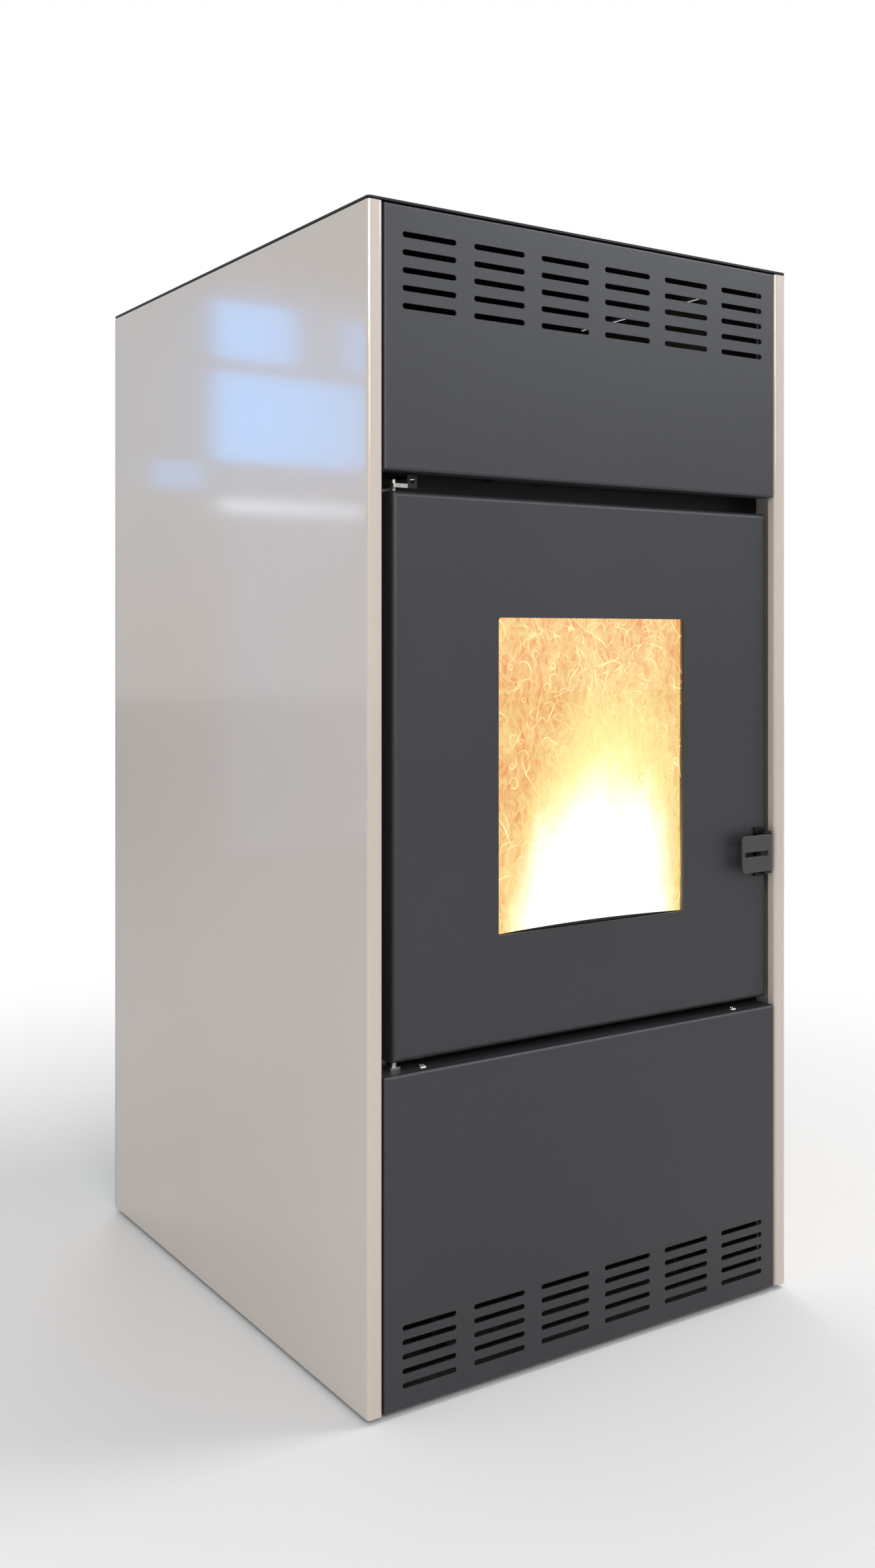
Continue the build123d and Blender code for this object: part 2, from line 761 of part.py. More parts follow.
latch_x = door_right - latch_inset
latch_y = deep(latch_back)
eye_front = latch_y - latch_eye
grip_y = (eye_front, eye_front + grip_sheet)
ear_x = (latch_x - ear_length / 2, latch_x + ear_length / 2)
ear_y = (latch_y - 5, door_front)
pad_x = (door_x[1] - notch_width, door_x[1] - door_bend - 0.5)
pad_y = (door_front - ear_sheet, door_front)
with BuildPart() as latch_bracket:
    for high in (False, True):
        edge = latch_z[1] + ear_gap if high else latch_z[0] - ear_gap
        outward = 1 if high else -1
        ear_span = sorted((edge, edge + outward * ear_sheet))
        block(ear_x, ear_y, ear_span)
        block(pad_x, pad_y, sorted((edge, edge + outward * pad_height)))
    rod((latch_x, latch_y, latch_z[0] - 5), (0, 0, 1), pin_radius, latch_height + 10)
    fillet(latch_bracket.edges().filter_by(Axis.Z).group_by(Axis.Y)[0], 3)
keep(latch_bracket, "latch_bracket")

grip_x = (latch_x - grip_length, latch_x)
arm_x = around(latch_x, latch_arm / 2)
hook_y = (deep(hook_back), deep(hook_back) + hook_length)
with BuildPart() as latch_lever:
    block(grip_x, grip_y, latch_z)
    fillet(latch_lever.edges().filter_by(Axis.Y).group_by(Axis.X)[0], grip_corner)
    fillet(latch_lever.faces().sort_by(Axis.Y)[0].edges().sort_by(Axis.X)[:-1], grip_edge)
    rod((latch_x, latch_y, latch_z[0]), (0, 0, 1), latch_eye, latch_height)
    block(arm_x, (latch_y, hook_y[1]), latch_z)
    block((latch_x, latch_x + hook_reach), hook_y, latch_z)
    rod((latch_x, latch_y, latch_z[0]), (0, 0, 1), pin_hole, latch_height, Mode.SUBTRACT)
    slot_x = (grip_x[0] + tool_slot_end, latch_x - tool_slot_end)
    slot_z = around(sum(latch_z) / 2, tool_slot_height / 2)
    block(slot_x, (grip_y[0] - 1, latch_y - pin_radius - 1.5), slot_z, mode=Mode.SUBTRACT)
keep(latch_lever, "latch_lever")

# ======== firebox ========

firebox_x_span = around(firebox_x, firebox_half)
firebox_y = (frame_rear, deep(firebox_back))
firebox_z = (up(firebox_low), up(firebox_high))
chamber_x = around(firebox_x, firebox_half - firebox_wall)
chamber_y = (firebox_y[0], firebox_y[1] - firebox_wall)
chamber_z = (firebox_z[0] + firebox_wall, firebox_z[1] - firebox_wall)
flue_x = (flue_left, flue_right)
flue_y = (firebox_y[1], firebox_y[1] + flue_depth)
flue_z = (up(flue_low), up(firebox_low + flue_top))
flue_inside_x = (flue_left + flue_wall, flue_right - flue_wall)
smoke_centre_y = deep(firebox_back + smoke_reach)
smoke_centre_z = up(smoke_axis_height)
chute_start = (auger_x, deep(firebox_back + chute_reach), up(chute_height))
chute_way = (0, -cos(radians(chute_slope)), -sin(radians(chute_slope)))
chute_plane = Plane(origin=chute_start, x_dir=(1, 0, 0), z_dir=chute_way)
igniter_z = up(intake_height)


def chute_cut(half):
    """Cuts the chute's straight way through the active part."""
    with BuildSketch(chute_plane) as section:
        Rectangle(2 * half, 2 * half)
    extrude(section.sketch, amount=chute_length * 2, mode=Mode.SUBTRACT)


with BuildPart() as firebox:
    block(firebox_x_span, firebox_y, firebox_z)
    block(chamber_x, chamber_y, chamber_z, mode=Mode.SUBTRACT)
    wall_y = (chamber_y[1] - 1, firebox_y[1] + 1)
    flue_slot_z = (firebox_z[0] + flue_slot_rise, firebox_z[0] + flue_slot_rise + flue_slot_height)
    block(flue_inside_x, wall_y, flue_slot_z, mode=Mode.SUBTRACT)
    rear_wall_start = chamber_y[1] - 1
    for x in tube_places:
        start = (x, rear_wall_start, up(tube_height))
        rod(start, (0, 1, 0), tube_radius + fit_gap, firebox_wall + 2, Mode.SUBTRACT)
    intake_start = (intake_x, rear_wall_start, up(intake_height))
    rod(intake_start, (0, 1, 0), intake_radius + fit_gap, firebox_wall + 2, Mode.SUBTRACT)
    igniter_start = (firebox_x, rear_wall_start, igniter_z)
    rod(igniter_start, (0, 1, 0), igniter_radius + fit_gap, firebox_wall + 2, Mode.SUBTRACT)
    chute_cut(chute_half + chute_wall + fit_gap)
    # welded supports down to the base plate
    for side in (-1, 1):
        outer = firebox_x + side * (firebox_half - support_inset)
        web = sorted((outer, outer - side * support_sheet))
        foot = sorted((outer, outer - side * support_foot))
        span_y = (firebox_y[0] + support_foot, firebox_y[1] - support_end)
        block(web, span_y, (base_z[1], firebox_z[0]))
        block(foot, span_y, (base_z[1], base_z[1] + support_sheet))
        block(foot, span_y, (firebox_z[0] - support_sheet, firebox_z[0]))
keep(firebox, "firebox")

# Flue box: leads the smoke from the firebox's rear wall down to the smoke fan.
with BuildPart() as flue_box:
    block(flue_x, flue_y, flue_z)
    flue_inside_y = (flue_y[0], flue_y[1] - flue_wall)
    block(flue_inside_x, flue_inside_y, inside(flue_z, flue_wall), mode=Mode.SUBTRACT)
    inlet_start = (flue_right - 2 * flue_wall, smoke_centre_y, smoke_centre_z)
    rod(inlet_start, (1, 0, 0), smoke_inlet, 3 * flue_wall, Mode.SUBTRACT)
keep(flue_box, "flue_box")

liner_z = (chamber_z[0] + fit_gap, up(tube_height - liner_drop))
with BuildPart() as side_liners:
    for side in (-1, 1):
        wall_x = firebox_x + side * (firebox_half - firebox_wall - fit_gap)
        liner_x = sorted((wall_x, wall_x - side * liner_thickness))
        block(liner_x, (frame_rear + fit_gap, chamber_y[1] - fit_gap), liner_z)
keep(side_liners, "side_liners")

liner_half = firebox_half - firebox_wall - liner_thickness - 2 * fit_gap
back_liner_y = (chamber_y[1] - fit_gap - liner_thickness, chamber_y[1] - fit_gap)
groove_count = 5
groove_radius = 4.0
with BuildPart() as back_liner:
    back_liner_z = (up(holder_high) + fit_gap, liner_z[1])
    block(around(firebox_x, liner_half), back_liner_y, back_liner_z)
    for i in range(groove_count):
        groove_x = firebox_x + (i - (groove_count - 1) / 2) * 2 * liner_half / groove_count
        start = (groove_x, back_liner_y[0], back_liner_z[0])
        rod(start, (0, 0, 1), groove_radius, liner_z[1] - start[2], Mode.SUBTRACT)
    chute_cut(chute_half + chute_wall + fit_gap)
keep(back_liner, "back_liner")

with BuildPart() as baffle_plate:
    baffle_x = around(firebox_x, firebox_half - firebox_wall - 2)
    baffle_y = (frame_rear + baffle_front_gap, chamber_y[1] - fit_gap)
    block(baffle_x, baffle_y, (liner_z[1] + fit_gap, liner_z[1] + fit_gap + baffle_thickness))
keep(baffle_plate, "baffle_plate")

# ======== burn pot, its holder, ash drawer, igniter ========

pot_y = deep(firebox_back - pot_reach)
holder_x = around(firebox_x, holder_half)
holder_y = (chamber_y[1] - holder_depth, chamber_y[1])
holder_z = (up(holder_low), up(holder_high))
pot_mouth = pot_half + pot_gap
with BuildPart() as pot_holder:
    block(holder_x, holder_y, holder_z)
    inside_x = (holder_x[0] + holder_wall, holder_x[1] - holder_wall)
    inside_y = (holder_y[0] + holder_wall, holder_y[1] - holder_wall)
    inside_z = (holder_z[0] + holder_wall, holder_z[1] - holder_wall)
    block(inside_x, inside_y, inside_z, mode=Mode.SUBTRACT)
    mouth_z = (holder_z[1] - 2 * holder_wall, holder_z[1] + 1)
    block(around(firebox_x, pot_mouth), around(pot_y, pot_mouth), mouth_z, mode=Mode.SUBTRACT)
    rear_start = holder_y[1] - 2 * holder_wall
    intake_start = (intake_x, rear_start, up(intake_height))
    rod(intake_start, (0, 1, 0), intake_radius - 2 * stub_wall, 3 * holder_wall, Mode.SUBTRACT)
    igniter_start = (firebox_x, rear_start, igniter_z)
    rod(igniter_start, (0, 1, 0), igniter_radius + fit_gap, 3 * holder_wall, Mode.SUBTRACT)
keep(pot_holder, "pot_holder")

rim_half = pot_half + pot_rim
rim_low = holder_z[1] + fit_gap
pot_low = rim_low - pot_depth
hole_rows = 4
hole_pitch = 20.0
with BuildPart() as burn_pot:
    block(around(firebox_x, pot_half), around(pot_y, pot_half), (pot_low, rim_low))
    fillet(burn_pot.edges().filter_by(Axis.Z), pot_wall)
    block(around(firebox_x, rim_half), around(pot_y, rim_half), (rim_low, rim_low + pot_rim_height))
    pot_inside = pot_half - pot_wall
    cavity_z = (pot_low + pot_wall, rim_low + pot_rim_height)
    block(around(firebox_x, pot_inside), around(pot_y, pot_inside), cavity_z, mode=Mode.SUBTRACT)
    with BuildSketch(Plane.XY.offset(pot_low)):
        with Locations((firebox_x, pot_y)):
            with GridLocations(hole_pitch, hole_pitch, hole_rows, hole_rows):
                Circle(pot_hole_radius)
    extrude(amount=pot_wall, mode=Mode.SUBTRACT)
    ignition_start = (firebox_x, pot_y + pot_inside - 1, igniter_z)
    rod(ignition_start, (0, 1, 0), igniter_radius + 1, pot_wall + 2, Mode.SUBTRACT)
keep(burn_pot, "burn_pot")

drawer_x = around(firebox_x, firebox_half - drawer_side)
drawer_y = (deep(drawer_front), deep(firebox_back - drawer_end))
drawer_z = (chamber_z[0] + fit_gap, chamber_z[0] + fit_gap + drawer_height)
with BuildPart() as ash_drawer:
    block(drawer_x, drawer_y, drawer_z)
    fillet(ash_drawer.edges().filter_by(Axis.Z), 4)
    offset(amount=-drawer_wall, openings=ash_drawer.faces().sort_by(Axis.Z)[-1])
    tab_z = drawer_z[0] + drawer_height * 0.6
    tab_y = (drawer_y[0] - drawer_tab, drawer_y[0] + drawer_wall / 2)
    block(around(firebox_x, drawer_tab_half), tab_y, (tab_z, tab_z + 2 * drawer_wall))
keep(ash_drawer, "ash_drawer")

with BuildPart() as igniter:
    tip_y = pot_y + pot_half + 5
    rod((firebox_x, tip_y, igniter_z), (0, 1, 0), igniter_radius, igniter_length)
    rod((firebox_x, firebox_y[1], igniter_z), (0, 1, 0), igniter_nut, 6)
keep(igniter, "igniter")

# ======== air ways ========

with BuildPart() as exchanger_tubes:
    tube_start = frame_front - frame_sheet
    tube_length = firebox_y[1] + duct_sheet + 2 - tube_start
    for x in tube_places:
        rod((x, tube_start, up(tube_height)), (0, 1, 0), tube_radius, tube_length)
    for x in tube_places:
        start = (x, tube_start, up(tube_height))
        rod(start, (0, 1, 0), tube_radius - tube_wall, tube_length, Mode.SUBTRACT)
keep(exchanger_tubes, "exchanger_tubes")

duct_y = (firebox_y[1], firebox_y[1] + duct_depth)
trunk_x = (trunk_left, trunk_left + trunk_width)
trunk_z = (up(trunk_low), up(tube_height + header_above))
header_x = around(firebox_x, header_half)
header_z = (up(tube_height - header_below), up(tube_height + header_above))

with BuildPart() as air_duct:
    block(trunk_x, duct_y, trunk_z)
    block(header_x, duct_y, header_z)
    trunk_hollow_z = (trunk_z[0], trunk_z[1] - duct_sheet)
    block(inside(trunk_x, duct_sheet), inside(duct_y, duct_sheet), trunk_hollow_z, mode=Mode.SUBTRACT)
    header_hollow = (inside(header_x, duct_sheet), inside(duct_y, duct_sheet))
    block(header_hollow[0], header_hollow[1], inside(header_z, duct_sheet), mode=Mode.SUBTRACT)
    for x in tube_places:
        start = (x, duct_y[0], up(tube_height))
        rod(start, (0, 1, 0), tube_radius + fit_gap, duct_sheet, Mode.SUBTRACT)
keep(air_duct, "air_duct")

blower_x = trunk_x
blower_y = (firebox_y[1], firebox_y[1] + blower_depth)
blower_z = (up(blower_low), up(trunk_low))
blower_axis = (deep(firebox_back + blower_reach), up(blower_axis_height))
shaft_hole = fan_shaft + running_gap
leg_width = 12.0
with BuildPart() as room_fan_housing:
    block(blower_x, blower_y, blower_z)
    hollow = (inside(blower_x, duct_sheet), inside(blower_y, duct_sheet), inside(blower_z, duct_sheet))
    block(hollow[0], hollow[1], hollow[2], mode=Mode.SUBTRACT)
    mouth_y = inside(duct_y, duct_sheet)
    block(hollow[0], mouth_y, (blower_z[1] - 2 * duct_sheet, blower_z[1]), mode=Mode.SUBTRACT)
    intake_y = (blower_axis[0] - blower_rotor, blower_axis[0] + blower_rotor)
    block(hollow[0], intake_y, (blower_z[0], blower_z[0] + 2 * duct_sheet), mode=Mode.SUBTRACT)
    start = (blower_x[0], blower_axis[0], blower_axis[1])
    rod(start, (1, 0, 0), shaft_hole, trunk_width, Mode.SUBTRACT)
    for edge_x in (blower_x[0], blower_x[1] - leg_width):
        for edge_y in (blower_y[0], blower_y[1] - duct_sheet):
            leg_y = (edge_y, edge_y + duct_sheet)
            block((edge_x, edge_x + leg_width), leg_y, (base_z[1], blower_z[0] + duct_sheet))
keep(room_fan_housing, "room_fan_housing")

blower_motor_x = (blower_x[0] - fit_gap - blower_motor_length, blower_x[0] - fit_gap)
with BuildPart() as room_fan_motor:
    start = (blower_motor_x[0], blower_axis[0], blower_axis[1])
    rod(start, (1, 0, 0), blower_motor_radius, blower_motor_length)
    fillet(room_fan_motor.faces().sort_by(Axis.X)[0].edges(), 4)
    bore_start = (blower_motor_x[0] + 5, blower_axis[0], blower_axis[1])
    rod(bore_start, (1, 0, 0), shaft_hole, blower_motor_length, Mode.SUBTRACT)
keep(room_fan_motor, "room_fan_motor")


def paddle_wheel(start, length, radius):
    """Adds a wheel along X: an end disc with straight blades standing on it."""
    rod(start, (1, 0, 0), radius, blower_disc)
    for i in range(blower_blades):
        angle = radians(i * 360 / blower_blades)
        plane = Plane(origin=start, x_dir=(0, cos(angle), sin(angle)), z_dir=(1, 0, 0))
        with BuildSketch(plane) as blade:
            with Locations(((radius + blower_root) / 2 - 0.5, 0)):
                Rectangle(radius - blower_root - 1, blower_blade)
        extrude(blade.sketch, amount=length)


with BuildPart() as room_fan_impeller:
    wheel_x = inside(blower_x, duct_sheet + blower_end_gap)
    wheel_start = (wheel_x[0], blower_axis[0], blower_axis[1])
    wheel_length = wheel_x[1] - wheel_x[0]
    rim = blower_rotor - 3
    paddle_wheel(wheel_start, wheel_length, rim)
    rod((wheel_x[1] - blower_disc, blower_axis[0], blower_axis[1]), (1, 0, 0), rim, blower_disc)
    shaft_start = (blower_motor_x[0] + 8, blower_axis[0], blower_axis[1])
    rod(shaft_start, (1, 0, 0), fan_shaft, blower_x[1] - shaft_start[0])
keep(room_fan_impeller, "room_fan_impeller")

smoke_x = (flue_right, flue_right + smoke_width)
outlet_z = (up(outlet_low), up(outlet_low + outlet_height))
outlet_y = (smoke_centre_y, deep(firebox_back + outlet_reach))
with BuildPart() as smoke_fan_housing:
    centre = (smoke_x[0], smoke_centre_y, smoke_centre_z)
    rod(centre, (1, 0, 0), smoke_radius, smoke_width)
    block(smoke_x, outlet_y, outlet_z)
    inner_centre = (smoke_x[0] + smoke_wall, smoke_centre_y, smoke_centre_z)
    inner_width = smoke_width - 2 * smoke_wall
    rod(inner_centre, (1, 0, 0), smoke_radius - smoke_wall, inner_width, Mode.SUBTRACT)
    hollow_x = inside(smoke_x, smoke_wall)
    block(hollow_x, outlet_y, inside(outlet_z, smoke_wall), mode=Mode.SUBTRACT)
    rod(centre, (1, 0, 0), smoke_inlet, smoke_wall, Mode.SUBTRACT)
    rod(centre, (1, 0, 0), shaft_hole, smoke_width, Mode.SUBTRACT)
keep(smoke_fan_housing, "smoke_fan_housing")

smoke_motor_x = (smoke_x[1] + fit_gap, smoke_x[1] + fit_gap + smoke_motor_length)
with BuildPart() as smoke_fan_motor:
    rod((smoke_motor_x[0], smoke_centre_y, smoke_centre_z), (1, 0, 0), smoke_motor_radius, smoke_motor_length)
    fillet(smoke_fan_motor.faces().sort_by(Axis.X)[-1].edges(), 5)
    bore_depth = smoke_motor_length / 2
    bore_start = (smoke_motor_x[0], smoke_centre_y, smoke_centre_z)
    rod(bore_start, (1, 0, 0), shaft_hole, bore_depth, Mode.SUBTRACT)
keep(smoke_fan_motor, "smoke_fan_motor")

with BuildPart() as smoke_fan_impeller:
    disc_x = smoke_x[1] - smoke_wall - 4
    wheel_start = (disc_x - smoke_rotor_width, smoke_centre_y, smoke_centre_z)
    rod((disc_x - 2, smoke_centre_y, smoke_centre_z), (1, 0, 0), smoke_rotor, 2)
    for i in range(smoke_blades):
        angle = radians(i * 360 / smoke_blades)
        plane = Plane(origin=wheel_start, x_dir=(0, cos(angle), sin(angle)), z_dir=(1, 0, 0))
        with BuildSketch(plane):
            with Locations((smoke_rotor * 0.6, 0)):
                Rectangle(smoke_rotor * 0.75, 2)
        extrude(amount=smoke_rotor_width)
    rod(wheel_start, (1, 0, 0), smoke_hub, smoke_rotor_width)
    shaft_length = smoke_motor_x[0] + bore_depth - 3 - wheel_start[0]
    rod(wheel_start, (1, 0, 0), fan_shaft, shaft_length)
keep(smoke_fan_impeller, "smoke_fan_impeller")

stub_x = sum(smoke_x) / 2
stub_z = sum(outlet_z) / 2
stub_end = rear_y + stub_reach
bead_start = rear_y + bead_back
with BuildPart() as exhaust_outlet:
    flange_y = (outlet_y[1], outlet_y[1] + stub_flange_sheet)
    block(around(stub_x, stub_flange / 2), flange_y, around(stub_z, stub_flange / 2))
    rod((stub_x, flange_y[1], stub_z), (0, 1, 0), stub_radius, stub_end - flange_y[1])
    rod((stub_x, bead_start, stub_z), (0, 1, 0), stub_radius + bead_height, bead_width)
    way = (inside(smoke_x, smoke_wall), inside(outlet_z, smoke_wall))
    block(way[0], flange_y, way[1], mode=Mode.SUBTRACT)
    bore = stub_radius - stub_wall
    rod((stub_x, flange_y[1], stub_z), (0, 1, 0), bore, stub_end - flange_y[1], Mode.SUBTRACT)
keep(exhaust_outlet, "exhaust_outlet")

intake_z = up(intake_height)
with BuildPart() as air_intake_pipe:
    pipe_start = holder_y[1] + fit_gap
    pipe_length = stub_end - pipe_start
    rod((intake_x, pipe_start, intake_z), (0, 1, 0), intake_radius, pipe_length)
    rod((intake_x, bead_start, intake_z), (0, 1, 0), intake_radius + bead_height, bead_width)
    bore = intake_radius - stub_wall
    rod((intake_x, pipe_start, intake_z), (0, 1, 0), bore, pipe_length, Mode.SUBTRACT)
keep(air_intake_pipe, "air_intake_pipe")

# ======== hopper and auger ========

hopper_x = around(0, hopper_half)
hopper_front = deep(firebox_back + hopper_reach)
hopper_y = (hopper_front, rear_y - hopper_rear_gap)
hopper_depth = hopper_y[1] - hopper_y[0]
throat_y = around(deep(firebox_back + throat_reach), throat_length / 2)


def funnel(wall):
    """Adds the hopper's tapering lower part, wall inside its outer faces."""
    with BuildSketch(Plane.XY.offset(up(hopper_throat))) as small:
        with Locations((auger_x, sum(throat_y) / 2)):
            grow = 2 * (mouth_wall - wall)
            Rectangle(2 * throat_half + grow, throat_length + grow)
    with BuildSketch(Plane.XY.offset(up(hopper_knee))) as large:
        with Locations((0, sum(hopper_y) / 2)):
            Rectangle(2 * (hopper_half - wall), hopper_depth - 2 * wall)
    return loft([small.sketch.faces()[0], large.sketch.faces()[0]], mode=Mode.PRIVATE)


outer_funnel = funnel(0)
inner_funnel = funnel(mouth_wall)
hopper_z = (up(hopper_knee), cover_low)
with BuildPart() as hopper:
    add(outer_funnel)
    block(hopper_x, hopper_y, hopper_z)
    add(inner_funnel, mode=Mode.SUBTRACT)
    block(inside(hopper_x, hopper_sheet), inside(hopper_y, hopper_sheet), hopper_z, mode=Mode.SUBTRACT)
keep(hopper, "hopper")

grille_z = (up(hopper_knee) + 6, up(hopper_knee) + 6 + grille_bar)
grille_x = inside(hopper_x, hopper_sheet + fit_gap)
grille_y = inside(hopper_y, hopper_sheet + fit_gap)
with BuildPart() as hopper_grille:
    block(grille_x, grille_y, grille_z)
    block(inside(grille_x, grille_rim), inside(grille_y, grille_rim), grille_z, mode=Mode.SUBTRACT)
    bars_x = int((grille_x[1] - grille_x[0] - 2 * grille_rim) / grille_pitch)
    for i in range(1, bars_x + 1):
        bar = around(grille_x[0] + grille_rim + i * grille_pitch, grille_bar / 2)
        block(bar, grille_y, grille_z)
    bars_y = int((grille_y[1] - grille_y[0] - 2 * grille_rim) / grille_pitch)
    for i in range(1, bars_y + 1):
        bar = around(grille_y[0] + grille_rim + i * grille_pitch, grille_bar / 2)
        block(grille_x, bar, grille_z)
keep(hopper_grille, "hopper_grille")

auger_way = (0, -cos(radians(auger_slope)), sin(radians(auger_slope)))
auger_low = Vector(auger_x, deep(firebox_back + auger_reach), up(auger_low_height))
down_way = tuple(-v for v in auger_way)
tube_outer = auger_bore + auger_wall
end_cap = 4.0
mouth_z = (up(mouth_low), up(hopper_throat))
with BuildPart() as auger_tube:
    rod(auger_low, auger_way, tube_outer, auger_length)
    mouth_x = around(auger_x, throat_half + mouth_wall)
    mouth_y = inside(throat_y, -mouth_wall)
    block(mouth_x, mouth_y, mouth_z)
    block(around(auger_x, throat_half), throat_y, mouth_z, mode=Mode.SUBTRACT)
    bore_start = auger_low + Vector(*auger_way) * end_cap
    rod(bore_start, auger_way, auger_bore, auger_length - 2 * end_cap, Mode.SUBTRACT)
    core_hole = auger_core + running_gap
    rod(auger_low, auger_way, core_hole, auger_length, Mode.SUBTRACT)
    chute_cut(chute_half)
keep(auger_tube, "auger_tube")

gear_start = auger_low - Vector(*auger_way) * fit_gap
gear_plane = Plane(origin=gear_start, x_dir=(1, 0, 0), z_dir=down_way)
with BuildPart() as auger_gearmotor:
    with BuildSketch(gear_plane):
        RectangleRounded(2 * gear_half, 2 * gear_half, 6)
    extrude(amount=gear_length)
    can_start = gear_start + Vector(*down_way) * gear_length
    rod(can_start, down_way, gear_motor_radius, gear_motor_length)
    shaft_socket = gear_length - 8
    rod(gear_start, down_way, core_hole, shaft_socket, Mode.SUBTRACT)
keep(auger_gearmotor, "auger_gearmotor")

blade_length = auger_length - 2 * (end_cap + auger_end_gap)
blade_start = auger_low + Vector(*auger_way) * (end_cap + auger_end_gap)
blade_plane = Plane(origin=blade_start, x_dir=(1, 0, 0), z_dir=auger_way)
core_start = gear_start + Vector(*down_way) * (shaft_socket - 4)
core_length = auger_length + shaft_socket - 6
with BuildPart() as screw_blade:
    with BuildLine() as spiral:
        Helix(auger_pitch, blade_length, auger_core)
    with BuildSketch(Plane(origin=spiral.line @ 0, x_dir=(1, 0, 0), z_dir=spiral.line % 0)):
        with Locations(((auger_radius - auger_core) / 2 - 0.5, 0)):
            Rectangle(auger_radius - auger_core + 1, auger_blade)
    sweep(path=spiral.line, is_frenet=True)
with BuildPart() as auger_screw:
    rod(core_start, auger_way, auger_core, core_length)
    add(blade_plane.location * screw_blade.part)
keep(auger_screw, "auger_screw")

with BuildPart() as pellet_chute:
    with BuildSketch(chute_plane):
        Rectangle(2 * (chute_half + chute_wall), 2 * (chute_half + chute_wall))
        Rectangle(2 * chute_half, 2 * chute_half, mode=Mode.SUBTRACT)
    extrude(amount=chute_length)
    long_start = auger_low - Vector(*auger_way) * auger_length
    rod(long_start, auger_way, tube_outer + fit_gap, 3 * auger_length, Mode.SUBTRACT)
keep(pellet_chute, "pellet_chute")

# ======== top cover, lid ========

opening_x = around(0, lid_opening_half)
opening_y = inside(hopper_y, lid_opening_inset)
collar_x = inside(opening_x, -collar_sheet)
collar_y = inside(opening_y, -collar_sheet)
lid_x = inside(collar_x, -lid_margin)
lid_y = inside(collar_y, -lid_margin)
lid_z = (cover_high + lid_lift, cover_high + lid_lift + lid_skirt)
lid_hinge_y = lid_y[1] + lid_hinge_gap
lid_hinge_z = cover_high + 7
control_y = opening_y[0] - control_lead
control_box_half = (control_width / 2 - control_box_inset, control_depth / 2 - control_box_inset)
cutout_gap = 1.0
ear_y_span = (lid_hinge_y - lug_radius, lid_hinge_y + lug_radius)

with BuildPart() as top_cover:
    block((-half_width, half_width), (front_y, rear_y), (cover_low, cover_high))
    fillet(top_cover.edges().filter_by(Axis.Z), side_bend)
    block(collar_x, collar_y, (cover_low, cover_high + collar_height))
    block(opening_x, opening_y, (cover_low, cover_high + collar_height), mode=Mode.SUBTRACT)
    cutout_x = around(control_x, control_box_half[0] + cutout_gap)
    cutout_y = around(control_y, control_box_half[1] + cutout_gap)
    block(cutout_x, cutout_y, (cover_low, cover_high), mode=Mode.SUBTRACT)
    # ears and pins that carry the lid
    for side in (-1, 1):
        middle = side * lid_hinge_spread / 2
        for hand in (-1, 1):
            near = middle + hand * (lug_width / 2 + fit_gap)
            ear = sorted((near, near + hand * ear_width))
            block(ear, ear_y_span, (cover_high, lid_hinge_z))
            rod((ear[0], lid_hinge_y, lid_hinge_z), (1, 0, 0), lug_radius, ear_width)
        reach = lug_width / 2 + ear_width
        rod((middle - reach, lid_hinge_y, lid_hinge_z), (1, 0, 0), lid_pin_radius, 2 * reach)
keep(top_cover, "top_cover")

with BuildPart() as hopper_lid:
    block(lid_x, lid_y, lid_z)
    fillet(hopper_lid.edges().filter_by(Axis.Z), 6)
    fillet(hopper_lid.faces().sort_by(Axis.Z)[-1].edges(), 2)
    skirt_z = (lid_z[0], lid_z[1] - lid_sheet)
    block(inside(lid_x, lid_sheet), inside(lid_y, lid_sheet), skirt_z, mode=Mode.SUBTRACT)
    for side in (-1, 1):
        lug = around(side * lid_hinge_spread / 2, lug_width / 2)
        lug_z = around(lid_hinge_z, lug_radius)
        block(lug, (lid_y[1] - lid_sheet, lid_hinge_y), lug_z)
        rod((lug[0], lid_hinge_y, lid_hinge_z), (1, 0, 0), lug_radius, lug_width)
        hole = lid_pin_radius + running_gap
        rod((lug[0], lid_hinge_y, lid_hinge_z), (1, 0, 0), hole, lug_width, Mode.SUBTRACT)
keep(hopper_lid, "hopper_lid")

seal_z = (cover_high + collar_height + fit_gap, lid_z[1] - lid_sheet - fit_gap)
with BuildPart() as lid_seal:
    seal_x = inside(opening_x, -seal_width + 4)
    seal_y = inside(opening_y, -seal_width + 4)
    block(seal_x, seal_y, seal_z)
    block(inside(seal_x, seal_width), inside(seal_y, seal_width), seal_z, mode=Mode.SUBTRACT)
keep(lid_seal, "lid_seal")

knob_y = lid_y[0] + knob_inset
with BuildPart() as lid_knob:
    rod((0, knob_y, lid_z[1]), (0, 0, 1), knob_neck, knob_height)
    rod((0, knob_y, lid_z[1] + knob_height / 2), (0, 0, 1), knob_radius, knob_height / 2)
    fillet(lid_knob.faces().sort_by(Axis.Z)[-1].edges(), 3)
keep(lid_knob, "lid_knob")

# ======== control panel ========

